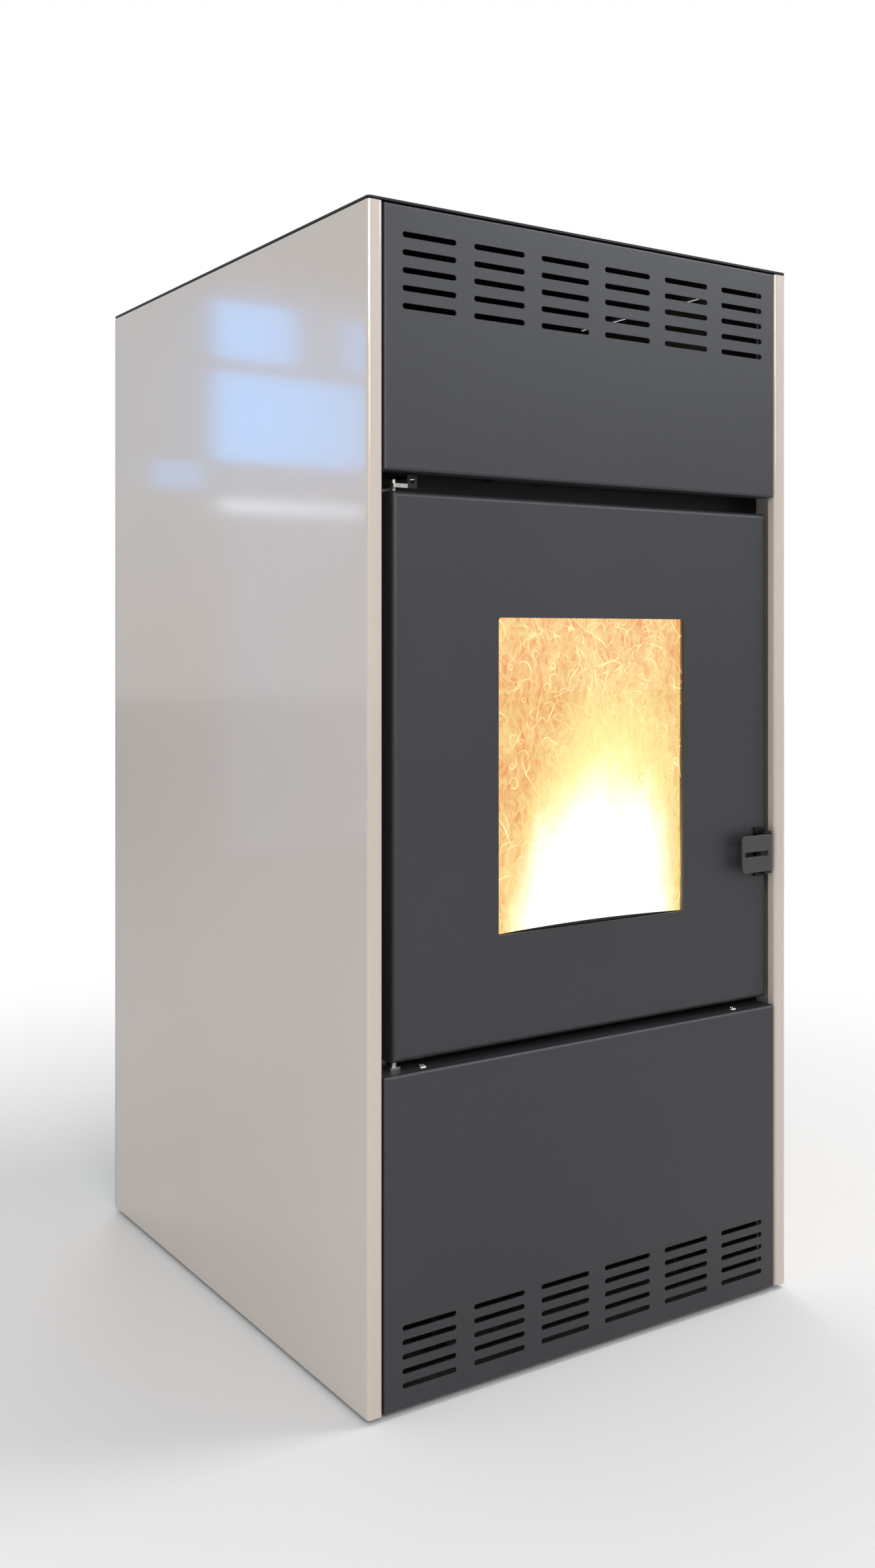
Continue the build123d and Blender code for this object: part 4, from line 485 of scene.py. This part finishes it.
gasketLook = {"plane": (0, 2), "width": 0.009, "corner": 0.006, "steps": 420, "sides": 14,
              "squareness": 0.6, "ridge": 0.04, "ridges": 140}
glassTape = ropeRing("glassTape", "glass_gasket", gasketLook, finishes["glass_fibre"])
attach(glassTape, "door")
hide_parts("glass_gasket")

lidSealLook = {"plane": (0, 1), "width": 0.008, "corner": 0.006, "steps": 360, "sides": 16,
               "squareness": 0.55, "ridge": 0.0, "ridges": 1}
lidGasket = ropeRing("lidGasket", "lid_seal", lidSealLook, finishes["seal_rubber"])
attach(lidGasket, "lid")
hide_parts("lid_seal")
print("seals made")

# arm, reach and depth are shares of the head's radius and height; foot, sink and height are in metres
headLook = {"sides": 40, "rings": 14, "height": 0.0017, "sink": 0.0016, "foot": 0.0004, "dome": 4,
            "arm": 0.17, "armSoft": 0.06, "reach": 0.66, "reachSoft": 0.1, "crossDepth": 0.75}


def screwHead(middle, normal, radius):
    # a low dome, height * (1 - share^dome), with a cross pressed in where the nearer arm's middle line is
    # within its half width
    share = np.linspace(0, 1, headLook["rings"])[:, None]
    turn = np.linspace(0, math.tau, headLook["sides"], endpoint=False)[None, :]
    a = share * np.cos(turn)
    b = share * np.sin(turn)
    arm = np.minimum(np.abs(a), np.abs(b))
    cross = (np.clip((headLook["arm"] - arm) / headLook["armSoft"], 0, 1)
             * np.clip((headLook["reach"] - share) / headLook["reachSoft"], 0, 1))
    rise = 1 - share ** headLook["dome"] - headLook["crossDepth"] * cross
    first = np.array([0.0, 0.0, 1.0]) if abs(normal[2]) < 0.5 else np.array([1.0, 0.0, 0.0])
    second = np.cross(normal, first)
    points = (middle + radius * (a[..., None] * first + b[..., None] * second)
              + headLook["height"] * rise[..., None] * normal)
    foot = middle + radius * (np.cos(turn)[..., None] * first + np.sin(turn)[..., None] * second)
    return np.concatenate([points, foot - headLook["foot"] * normal], 0)


def headsPiece(name, heads, finish):
    # all heads of one kind in one mesh, each a grid of rings and sides
    grids = [screwHead(*head) for head in heads]
    rows, columns = grids[0].shape[:2]
    i, j = np.meshgrid(np.arange(rows - 1), np.arange(columns), indexing="ij")
    jNext = (j + 1) % columns
    quads = np.stack([i * columns + j, (i + 1) * columns + j,
                      (i + 1) * columns + jNext, i * columns + jNext], -1).reshape(-1, 4)
    faces = np.concatenate([quads + k * rows * columns for k in range(len(grids))])
    return meshPiece(name, np.concatenate([grid.reshape(-1, 3) for grid in grids]), faces, finish)


def islandBoxes(nodeName):
    # the low and high corners of each separate solid of a node, found by spreading labels along its edges
    mesh = frame["nodes"][nodeName].data
    spots = np.zeros(len(mesh.vertices) * 3)
    mesh.vertices.foreach_get("co", spots)
    spots = spots.reshape(-1, 3)
    weld = np.unique(np.round(spots, 6), axis=0, return_inverse=True)[1].ravel()
    corners = np.zeros(len(mesh.loops), int)
    mesh.loops.foreach_get("vertex_index", corners)
    triangles = weld[corners].reshape(-1, 3)
    label = np.arange(weld.max() + 1)
    while True:
        least = label[triangles].min(1)
        fresh = label.copy()
        for k in range(3):
            np.minimum.at(fresh, triangles[:, k], least)
        if (fresh == label).all():
            break
        label = fresh
    owner = label[weld]
    return [(spots[owner == k].min(0), spots[owner == k].max(0)) for k in np.unique(owner)]


panelHeads = []
for low, high in islandBoxes("panel_screws"):
    # a screw longer along z than along y points up; the others point forwards or back, away from the middle
    size = high - low
    middle = (low + high) / 2
    axis = 2 if size[2] > size[1] else 1
    way = -1 if axis == 1 and middle[1] < 0 else 1
    normal = np.zeros(3)
    normal[axis] = way
    middle[axis] = (low if way < 0 else high)[axis] - way * headLook["sink"]
    panelHeads.append((middle, normal, np.sort(size)[1] / 2))
crossHeads = headsPiece("crossHeads", panelHeads, finishes["zinc_plate"])
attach(crossHeads, "cabinet")
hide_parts("panel_screws")
print("screw heads made:", len(panelHeads))

# the fire's colours; yellow and white are brighter than the screen's white, so they glow through the glass
fireLook = {"deep": srgb(247, 154, 84), "orange": srgb(255, 214, 142), "yellow": (1.2, 1.06, 0.42, 1.0),
            "white": (1.7, 1.7, 1.55, 1.0), "strength": 0.96, "strandShare": 0.85, "patchShare": 0.22,
            "patch": (30.0, 3.0), "patchSpan": (0.3, 0.7), "tongueSpan": (0.4, 0.75), "tongueVeil": 0.3,
            "strandVeil": 0.16, "haloSpan": (-0.35, 0.75), "haloVeil": 0.95, "coreSpan": (-0.9, 0.75),
            "solidCore": (-0.5, 0.2), "solidTongues": (0.3, 0.62), "footSpan": (0.378, 0.391),
            "footWaver": 0.008,
            "sockets": {"Roughness": 1.0, "Specular IOR Level": 0.0, "Base Color": plainBlack}}
# the domes' widths and tops are shares of the window, with the powers that round their sides and tops
coreDome = {"width": 0.375, "sidePower": 2.4, "top": 0.43, "topPower": 1.9}
haloDome = {"width": 0.50, "sidePower": 2.0, "top": 0.80, "topPower": 2.2}
# noises: how coordinates are bent and stretched first, then scale, detail and roughness
tongueNoise = {"bend": (14.0, 0.03), "stretch": (1.0, 1.0, 0.22), "noise": (50.0, 3.0, 0.6), "reach": 0.26}
strandNoise = {"bend": (26.0, 0.04), "curl": (90.0, 0.005), "stretch": (1.0, 1.0, 0.3),
               "coarse": (120.0, 1.5), "coarseRidge": (0.5, 8.0),
               "fine": (230.0, 1.5), "fineRidge": (0.48, 6.0)}
driftNoise = {"stretch": (1.0, 1.0, 0.5), "noise": (16.0, 2.0), "reach": 0.14}
# the fire as seen through the window: its middle, its foot, and the window's width and height there
fireSpan = {"middle": 0.036, "foot": 0.384, "width": 0.225, "height": 0.302, "lean": 0.13}
chamberX = (-0.1355, 0.1475)
chamberFront = casingFront + 0.048
chamberBack = casingFront + 0.303


def dome(across, height, look):
    # 1 - |across / width|^sidePower - (height / top)^topPower: 1 at the foot's middle, 0 along the edge
    return (1 - (across / look["width"]).size() ** look["sidePower"]
            - (height / look["top"]) ** look["topPower"])


def fireFinish(name, seeThrough):
    # a white core dome, a yellow halo dome round it and orange strands beyond, all by the way across the
    # window, (x - middle - lean * rise) / width, and the height in it, rise / height, pushed about by noise
    material, shader, start = startFinish(name, fireLook["sockets"])
    coords = start.coords()
    x, z = coords.parts(0, 2)
    tongues = coords.bent(*tongueNoise["bend"]).stretched(tongueNoise["stretch"]).noise(*tongueNoise["noise"])
    curled = coords.bent(*strandNoise["bend"]).bent(*strandNoise["curl"]).stretched(strandNoise["stretch"])
    strands = (curled.noise(*strandNoise["coarse"]).ridge(*strandNoise["coarseRidge"]) * 0.5
               + curled.noise(*strandNoise["fine"]).ridge(*strandNoise["fineRidge"]) * 0.5)
    drift = coords.stretched(driftNoise["stretch"]).noise(*driftNoise["noise"])
    rise = z - fireSpan["foot"]
    across = ((x - fireSpan["middle"] - rise * fireSpan["lean"]) / fireSpan["width"]
              + (drift - 0.5) * driftNoise["reach"])
    height = (rise / fireSpan["height"] + (tongues - 0.5) * tongueNoise["reach"]).above(0.0)
    core = dome(across, height, coreDome)
    halo = dome(across, height, haloDome)
    patch = coords.noise(*fireLook["patch"]).between(*fireLook["patchSpan"])
    ember = (strands * fireLook["strandShare"] + patch * fireLook["patchShare"]).clamped()
    veil = (tongues.between(*fireLook["tongueSpan"]) * fireLook["tongueVeil"]
            + strands * fireLook["strandVeil"]
            + halo.between(*fireLook["haloSpan"]) * fireLook["haloVeil"])
    warm = veil.clamped().tint(ember.tint(fireLook["deep"], fireLook["orange"]), fireLook["yellow"])
    feed(shader, core.between(*fireLook["coreSpan"]).tint(warm, fireLook["white"]), "Emission Color")
    shader.inputs["Emission Strength"].default_value = fireLook["strength"]
    if seeThrough:
        solid = core.between(*fireLook["solidCore"]) + tongues.between(*fireLook["solidTongues"])
        feed(shader, solid.clamped(), "Alpha")
    else:
        # the foot fades out above the pot's floor
        feed(shader, (z + tongues * fireLook["footWaver"]).between(*fireLook["footSpan"]), "Alpha")
    return material


# lengths in metres: the rounding of the plan, the depth of the folds, and the way in over which they turn
curtainLook = {"columns": 180, "rows": 90, "corner": 0.04, "fold": 0.0022, "wavesAlong": 61, "wavesUp": 7,
               "inward": 0.05, "foot": 0.426, "rise": 0.352}


def fireCurtain(look):
    # a curtain that follows the liners round the back of the chamber, u along the wall, v up, with folds of
    # fold * (1 + sin(u * wavesAlong) * cos(v * wavesUp)) towards the chamber's middle
    depth = chamberBack - chamberFront
    width = chamberX[1] - chamberX[0]
    corner = look["corner"]
    arc = math.pi / 2 * corner
    run = np.array([depth - corner, arc, width - 2 * corner, arc, depth - corner])
    edge = np.concatenate([[0], np.cumsum(run)]) / run.sum()
    u = np.linspace(0, 1, look["columns"])
    leg = [np.clip((u - edge[k]) / (edge[k + 1] - edge[k]), 0, 1) for k in range(len(run))]
    # the plan is the sum of its five legs: back along the left wall, round, across, round, and forward
    firstTurn, secondTurn = leg[1] * math.pi / 2, leg[3] * math.pi / 2
    x = chamberX[0] + corner * (1 - np.cos(firstTurn)) + run[2] * leg[2] + corner * np.sin(secondTurn)
    y = (chamberFront + run[0] * leg[0] + corner * np.sin(firstTurn)
         - corner * (1 - np.cos(secondTurn)) - run[4] * leg[4])
    v = np.linspace(0, 1, look["rows"])
    fold = look["fold"] * (1 + np.sin(u * look["wavesAlong"])[None, :] * np.cos(v * look["wavesUp"])[:, None])
    toMiddle = sum(chamberX) / 2 - x
    inward = np.sign(toMiddle) * np.minimum(1, np.abs(toMiddle) / look["inward"])
    points = np.zeros((look["rows"], look["columns"], 3))
    points[..., 0] = x[None, :] + inward[None, :] * fold
    points[..., 1] = y[None, :] - fold * (leg[1] * (1 - leg[4]))[None, :]
    points[..., 2] = (look["foot"] + v * look["rise"])[:, None]
    return points


# x and z spans, depth behind the chamber's mouth and swing in metres; each wave is across, up and share
frontSheetLook = {"x": (chamberX[0] + 0.001, chamberX[1] - 0.001), "back": 0.0, "z": (0.372, 0.775),
                  "swing": 0.0016, "seed": 11}
middleSheetLook = {"x": (-0.120, 0.134), "back": 0.045, "z": (0.376, 0.72), "swing": 0.010, "seed": 12}
sheetWaves = {"columns": 150, "rows": 110, "still": 0.3, "waves": ((9, 3, 1.0), (19, -5, 0.6), (0, 11, 0.4))}


def flameSheet(look):
    # an upright sheet whose depth is swing / 2 * (still + (1 - still) * v) * the sum of
    # share * sin(u * across + v * up + phase), so it sways more towards the top
    u = np.linspace(0, 1, sheetWaves["columns"])[None, :]
    v = np.linspace(0, 1, sheetWaves["rows"])[:, None]
    phases = np.random.default_rng(look["seed"]).uniform(0, math.tau, len(sheetWaves["waves"]))
    wave = sum(share * np.sin(u * across + v * up + phase)
               for (across, up, share), phase in zip(sheetWaves["waves"], phases))
    still = sheetWaves["still"]
    points = np.zeros((sheetWaves["rows"], sheetWaves["columns"], 3))
    points[..., 0] = look["x"][0] + u * (look["x"][1] - look["x"][0])
    points[..., 1] = chamberFront + look["back"] + look["swing"] * (still + (1 - still) * v) * wave / 2
    points[..., 2] = look["z"][0] + v * (look["z"][1] - look["z"][0])
    return points


# lengths in metres, angles in radians; clear is the share of the window's height left free over the core
sparkLook = {"count": 190, "seed": 21, "steps": 26, "step": (0.0005, 0.0019), "bend": 0.09,
             "bendDrift": 0.035, "hookShare": 0.25, "hookBend": 2.4, "tilt": 0.75, "x": (-0.080, 0.146),
             "risePower": 0.6, "clear": 0.62, "clearFall": 0.75, "halfWidth": (0.0004, 0.00085),
             "taper": 0.12, "front": 0.0022, "frontSpread": 0.0016, "wallGap": 0.002,
             "colour": (1.35, 1.06, 0.5, 1.0), "glow": (60.0, 2.0), "glowSpan": (0.25, 0.6),
             "glowAlpha": 0.5, "leastAlpha": 0.4, "strength": 1.0}


def sparkTrails(look):
    # thin glowing trails: each starts at random and turns by a smoothly changing rate, as a flat ribbon whose
    # half width is halfWidth * sin(share of the way along * pi)
    rng = np.random.default_rng(look["seed"])
    count, steps = look["count"], look["steps"]
    step = rng.uniform(*look["step"], count)[:, None]
    bend = (rng.normal(0, look["bend"], (count, 1))
            + np.cumsum(rng.normal(0, look["bendDrift"], (count, steps)), 1))
    hook = rng.uniform(0, 1, (count, 1)) < look["hookShare"]
    bend = np.where(hook, bend * look["hookBend"], bend)
    heading = math.pi / 2 + rng.normal(0, look["tilt"], (count, 1)) + np.cumsum(bend, 1)
    x = rng.uniform(*look["x"], (count, 1)) + np.cumsum(np.cos(heading) * step, 1)
    rise = rng.uniform(0, 1, (count, 1)) ** look["risePower"]
    side = np.abs(x[:, :1] - fireSpan["middle"]) / fireSpan["width"] * 2
    low = np.clip(look["clear"] - look["clearFall"] * side ** 2, 0.0, look["clear"])
    start = fireSpan["foot"] + fireSpan["height"] * (low + (1 - low) * rise)
    z = start + np.cumsum(np.sin(heading) * step, 1)
    taper = np.sin(np.linspace(look["taper"], math.pi - look["taper"], steps))[None, :]
    width = rng.uniform(*look["halfWidth"], (count, 1)) * taper
    points = np.zeros((count, steps, 2, 3))
    for k, hand in enumerate((-1, 1)):
        points[:, :, k, 0] = x - hand * width * np.sin(heading)
        points[:, :, k, 2] = z + hand * width * np.cos(heading)
    front = look["front"] + rng.uniform(0, look["frontSpread"], (count, 1))
    points[..., 1] = (chamberFront - front)[:, :, None]
    points[..., 0] = np.clip(points[..., 0], chamberX[0] + look["wallGap"], chamberX[1] - look["wallGap"])
    first = (np.arange(count)[:, None] * steps + np.arange(steps - 1)[None, :]).ravel() * 2
    return points.reshape(-1, 3), np.stack([first, first + 1, first + 3, first + 2], -1)


def trailFinish(name, look):
    # glowing thread, orange to yellow and clearer to denser by one noise
    material, shader, start = startFinish(name, fireLook["sockets"])
    glow = start.coords().noise(*look["glow"]).between(*look["glowSpan"])
    shader.inputs["Emission Strength"].default_value = look["strength"]
    feed(shader, glow.tint(fireLook["orange"], look["colour"]), "Emission Color")
    feed(shader, (glow * look["glowAlpha"] + look["leastAlpha"]).clamped(), "Alpha")
    return material


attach(surfaceFromGrid("fireGlow", fireCurtain(curtainLook), fireFinish("fireGlow", False)), "cabinet")
frontSheet = flameSheet(frontSheetLook)
middleSheet = flameSheet(middleSheetLook)
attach(surfaceFromGrid("flamesFront", frontSheet, fireFinish("flamesFront", False)), "cabinet")
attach(surfaceFromGrid("flamesMiddle", middleSheet, fireFinish("flamesMiddle", True)), "cabinet")
trailPoints, trailFaces = sparkTrails(sparkLook)
trailGlow = trailFinish("sparkTrails", sparkLook)
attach(meshPiece("sparkTrails", trailPoints, trailFaces, trailGlow, smooth=False), "cabinet")
print("fire made")

# colours of fresh and of glowing pellets, and the noises of their patches and fibres
pelletLook = {"dark": srgb(150, 112, 74), "light": srgb(214, 180, 134), "ash": srgb(40, 30, 26),
              "char": srgb(120, 84, 60), "ember": srgb(255, 150, 60), "hot": srgb(255, 240, 190),
              "patch": (160.0, 3.0), "fibre": (1400.0, 3.0, 0.7), "patchShare": 0.6, "speckSpan": (0.3, 0.7),
              "glowSpan": (0.3, 0.6), "strength": 1.2, "roughness": 0.7, "fibreGloss": 0.2, "bump": 0.5,
              "depth": 0.0004}
# the rods' lengths in metres; stations and widths are shares of the half length and of the radius
rodLook = {"radius": 0.003, "sides": 8, "tilt": 0.35, "half": (0.005, 0.010), "overhang": 0.004,
           "stations": (-1.0, -0.93, 0.93, 1.0), "widths": (0.7, 1.0, 1.0, 0.7)}


def pelletFinish(name, glow):
    # pressed wood, dark to light by patches and fibres; glowing ones are charred, with embers by the patches
    material, shader, start = startFinish(name, {})
    coords = start.coords()
    patch = coords.noise(*pelletLook["patch"])
    fibre = coords.noise(*pelletLook["fibre"])
    if glow:
        feed(shader, patch.tint(pelletLook["ash"], pelletLook["char"]), "Base Color")
        ember = patch.between(*pelletLook["glowSpan"]).tint(pelletLook["ember"], pelletLook["hot"])
        feed(shader, ember, "Emission Color")
        shader.inputs["Emission Strength"].default_value = pelletLook["strength"]
    else:
        speck = patch * pelletLook["patchShare"] + fibre * (1 - pelletLook["patchShare"])
        wood = speck.between(*pelletLook["speckSpan"]).tint(pelletLook["dark"], pelletLook["light"])
        feed(shader, wood, "Base Color")
    feed(shader, (fibre * pelletLook["fibreGloss"] + pelletLook["roughness"]).clamped(), "Roughness")
    feed(shader, fibre.bump(pelletLook["bump"], pelletLook["depth"]), "Normal")
    return material


def pelletHeap(name, xSpan, ySpan, look, finish):
    # short rods lying at random on a bed that falls off from its middle by heave / 2 * (across^2 + along^2):
    # each has four eight-sided rings, narrower at both ends, and a cap at each end
    rng = np.random.default_rng(look["seed"])
    count, sides, radius = look["count"], rodLook["sides"], rodLook["radius"]
    middle = np.stack([rng.uniform(*xSpan, count), rng.uniform(*ySpan, count), np.zeros(count)], -1)
    across = (middle[:, 0] - sum(xSpan) / 2) / (xSpan[1] - xSpan[0]) * 2
    along = (middle[:, 1] - sum(ySpan) / 2) / (ySpan[1] - ySpan[0]) * 2
    fall = look["heave"] * (across ** 2 + along ** 2) / 2
    middle[:, 2] = look["level"] - fall + rng.uniform(-1, 1, count) * radius
    turn = rng.uniform(0, math.tau, count)
    tilt = rng.uniform(-rodLook["tilt"], rodLook["tilt"], count)
    way = np.stack([np.cos(turn) * np.cos(tilt), np.sin(turn) * np.cos(tilt), np.sin(tilt)], -1)
    side = np.stack([-np.sin(turn), np.cos(turn), 0 * turn], -1)
    top = np.cross(way, side)
    half = rng.uniform(*rodLook["half"], count)
    ring = np.linspace(0, math.tau, sides, endpoint=False)
    # axes of the arrays: rod, station along it, side round it, coordinate
    lengthways = np.array(rodLook["stations"])[:, None] * (half[:, None] * way)[:, None, :]
    outward = np.cos(ring)[:, None] * side[:, None, :] + np.sin(ring)[:, None] * top[:, None, :]
    widths = np.array(rodLook["widths"]) * radius
    points = middle[:, None, None, :] + lengthways[:, :, None, :] + widths[:, None, None] * outward[:, None]
    for axis, span in enumerate((xSpan, ySpan)):
        reach = (span[0] - rodLook["overhang"], span[1] + rodLook["overhang"])
        points[..., axis] = np.clip(points[..., axis], *reach)
    i, j = np.meshgrid(np.arange(3), np.arange(sides), indexing="ij")
    jNext = (j + 1) % sides
    wall = np.stack([i * sides + j, i * sides + jNext,
                     (i + 1) * sides + jNext, (i + 1) * sides + j], -1).reshape(-1, 4)
    first = np.array([[0, 3, 2, 1], [0, 5, 4, 3], [0, 7, 6, 5]])
    caps = np.concatenate([first, 3 * sides + first[:, ::-1]])
    faces = np.concatenate([wall, caps])
    offsets = (np.arange(count) * 4 * sides)[:, None, None]
    return meshPiece(name, points.reshape(-1, 3), (faces[None] + offsets).reshape(-1, 4), finish)


# gap to the walls, level of the heap's top and fall to its sides in metres; the bed closes the view below
hopperHeap = {"gap": 0.008, "level": 0.955, "heave": 0.02, "count": 5200, "seed": 3}
hopperBed = {"columns": 60, "rows": 40, "level": 0.9525, "overlap": 1.02}
potHeap = {"gap": 0.018, "level": potLow[2] + 0.022, "heave": 0.008, "count": 220, "seed": 5}

woodPellets = pelletFinish("woodPellets", False)
hopperSpans = [(hopperLow[k] + hopperHeap["gap"], hopperHigh[k] - hopperHeap["gap"]) for k in range(2)]
hopperPellets = pelletHeap("hopperPellets", *hopperSpans, hopperHeap, woodPellets)
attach(hopperPellets, "cabinet")
bedU, bedV = np.meshgrid(np.linspace(-1, 1, hopperBed["columns"]), np.linspace(-1, 1, hopperBed["rows"]),
                         indexing="ij")
bedX, bedY = (sum(span) / 2 + share * (span[1] - span[0]) / 2 * hopperBed["overlap"]
              for span, share in zip(hopperSpans, (bedU, bedV)))
bedZ = hopperBed["level"] - hopperHeap["heave"] * (bedU ** 2 + bedV ** 2) / 2
pelletBed = surfaceFromGrid("pelletBed", np.stack([bedX, bedY, bedZ], -1), woodPellets)
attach(pelletBed, "cabinet")

potSpans = [(potLow[k] + potHeap["gap"], potHigh[k] - potHeap["gap"]) for k in range(2)]
potPellets = pelletHeap("potPellets", *potSpans, potHeap, pelletFinish("glowingPellets", True))
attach(potPellets, "pot")
print("pellets made")

# the floor's half size, and the distances between which it fades to white, in metres
floorLook = {"half": 14.0, "dark": srgb(247, 247, 247), "light": srgb(250, 250, 250), "cloud": (2.0, 2.0),
             "fade": (0.45, 1.5), "sockets": {"Roughness": 0.9}}


def paleFloor(look):
    # a square of four points; to the camera it fades to plain white with the distance from the origin
    half = look["half"]
    grid = np.array([[[-half, -half, 0.0], [-half, half, 0.0]], [[half, -half, 0.0], [half, half, 0.0]]])
    material, shader, start = startFinish("paleFloor", look["sockets"])
    coords = start.coords()
    x, y = coords.parts(0, 1)
    away = (x * x + y * y) ** 0.5
    seen = start.node("LightPath", {}, {}, "Is Camera Ray")
    feed(shader, coords.noise(*look["cloud"]).tint(look["dark"], look["light"]), "Base Color")
    glow = start.node("Emission", {}, {"Color": plainWhite, "Strength": 1.0})
    shares = {0: away.between(*look["fade"]) * seen, 1: Wire(start.tree, shader.outputs[0]), 2: glow}
    mixed = start.node("MixShader", {}, shares)
    start.tree.links.new(mixed.socket, start.tree.nodes["Material Output"].inputs["Surface"])
    floor = surfaceFromGrid("floor", grid, material)
    floor.data.flip_normals()


paleFloor(floorLook)

# places, targets and sizes in metres, power in watts; hidden names the rays that don't see a lamp
lamps = {
    "keyLamp": {"place": (-1.1, -2.3, 1.6), "target": (0.0, -0.1, 0.6), "size": (1.4, 1.0), "power": 24.0},
    "rightLamp": {"place": (2.5, -1.15, 0.75), "target": (0.2, -0.3, 0.45), "size": (0.7, 0.7), "power": 7.0,
                  "hidden": ("glossy",)},
    "topLamp": {"place": (1.5, -0.7, 2.8), "target": (0.0, -0.1, 0.5), "size": (1.1, 1.1), "power": 24.0},
    "skyLamp": {"place": (2.9, -3.2, 2.75), "target": (0.0, -0.3, 0.95), "size": (1.6, 1.2), "power": 50.0,
                "colour": (0.85, 0.92, 1.0), "hidden": ("diffuse",)},
    "leftLamp": {"place": (-2.0, -0.9, 0.3), "target": (-0.25, -0.1, 0.4), "size": (0.8, 0.8), "power": 6.0,
                 "colour": (0.66, 0.84, 1.0), "hidden": ("glossy",)},
    "rearLamp": {"place": (1.3, 3.0, 1.7), "target": (0.0, 0.3, 0.6), "size": (1.4, 1.4), "power": 22.0},
}
# upright light panels behind the stove's left, which the glossy side shows as a soft window and a pale wall:
# x span and z span in metres, brightness, colour
paneDepth = 2.6
skyBlue = (0.04, 0.4, 1.0)
panes = {
    "mainPane": ((-1.98, -1.46), (1.19, 1.45), 3.9, skyBlue),
    "upperPane": ((-1.73, -1.46), (1.49, 1.66), 3.8, skyBlue),
    "narrowPane": ((-1.99, -1.89), (1.49, 1.65), 3.2, skyBlue),
    "lowStreak": ((-1.97, -1.48), (1.04, 1.08), 3.0, (0.7, 0.85, 1.0)),
    "smallPane": ((-1.43, -1.27), (1.10, 1.18), 1.7, skyBlue),
    "farWall": ((-2.1, -1.5), (0.03, 1.72), 0.42, (0.3, 0.45, 1.0)),
    "paleWall": ((-1.98, -1.62), (0.35, 0.98), 0.5, (0.7, 0.8, 1.0)),
}
# the line of light along the upper left edge
edgeLampLook = {"place": (-2.2, -1.9, 1.62), "target": (-0.25, -0.31, 0.98), "size": (0.3, 0.34),
                "power": 16.0, "colour": (1.0, 0.95, 0.85), "hidden": ("diffuse",)}


def softLamp(name, look):
    # a rectangular light at its place, turned by pitch and yaw to face its target
    lamp = bpy.data.lights.new(name, "AREA")
    lamp.shape = "RECTANGLE"
    lamp.size, lamp.size_y = look["size"]
    lamp.energy = look["power"]
    lamp.color = look.get("colour", plainWhite[:3])
    holder = bpy.data.objects.new(name, lamp)
    holder.location = look["place"]
    way = np.array(look["target"]) - np.array(look["place"])
    pitch = math.atan2(-way[2], math.hypot(way[0], way[1]))
    holder.rotation_euler = (math.pi / 2 - pitch, 0.0, math.atan2(way[1], way[0]) - math.pi / 2)
    for ray in look.get("hidden", ()):
        setattr(holder, "visible_" + ray, False)
    bpy.context.scene.collection.objects.link(holder)


def windowPane(name, xSpan, zSpan, brightness, colour):
    # a soft lamp that fills its spans and faces forwards, with power = brightness * pi * area
    size = (xSpan[1] - xSpan[0], zSpan[1] - zSpan[0])
    place = (sum(xSpan) / 2, paneDepth, sum(zSpan) / 2)
    softLamp(name, {"place": place, "target": (place[0], 0.0, place[2]), "size": size, "colour": colour,
                    "power": brightness * math.pi * size[0] * size[1], "hidden": ("camera", "diffuse")})


for name, look in lamps.items():
    softLamp(name, look)
for name, pane in panes.items():
    windowPane(name, *pane)
softLamp("edgeLamp", edgeLampLook)

# the room is white to the camera and through the glass, and dimmer to mirrors and to matt surfaces
roomLook = {"least": 0.45, "seen": 0.55, "glossyShare": 0.65}
world = bpy.data.worlds.new("paleRoom")
bpy.context.scene.world = world
world.use_nodes = True
room = Wire(world.node_tree)
direct, glossy, passing = (room.node("LightPath", {}, {}, ray)
                           for ray in ("Is Camera Ray", "Is Glossy Ray", "Is Transmission Ray"))
seen = (direct + passing + glossy * roomLook["glossyShare"]).clamped()
strength = seen * roomLook["seen"] + roomLook["least"]
backdrop = world.node_tree.nodes["Background"]
backdrop.inputs["Color"].default_value = plainWhite
world.node_tree.links.new(strength.socket, backdrop.inputs["Strength"])

# place in metres, yaw in degrees, lens and sensor in millimetres
cameraLook = {"place": (-0.899, -1.403, 0.668), "yaw": -33.38, "lens": 34.395, "sensor": 36.0,
              "shift": -0.0924}
camera = bpy.data.objects.new("camera", bpy.data.cameras.new("camera"))
camera.location = cameraLook["place"]
camera.rotation_euler = (math.pi / 2, 0.0, math.radians(cameraLook["yaw"]))
camera.data.lens = cameraLook["lens"]
camera.data.sensor_width = cameraLook["sensor"]
camera.data.shift_y = cameraLook["shift"]
bpy.context.scene.collection.objects.link(camera)
bpy.context.scene.camera = camera
bpy.context.scene.view_settings.view_transform = "Standard"
print("stage set")
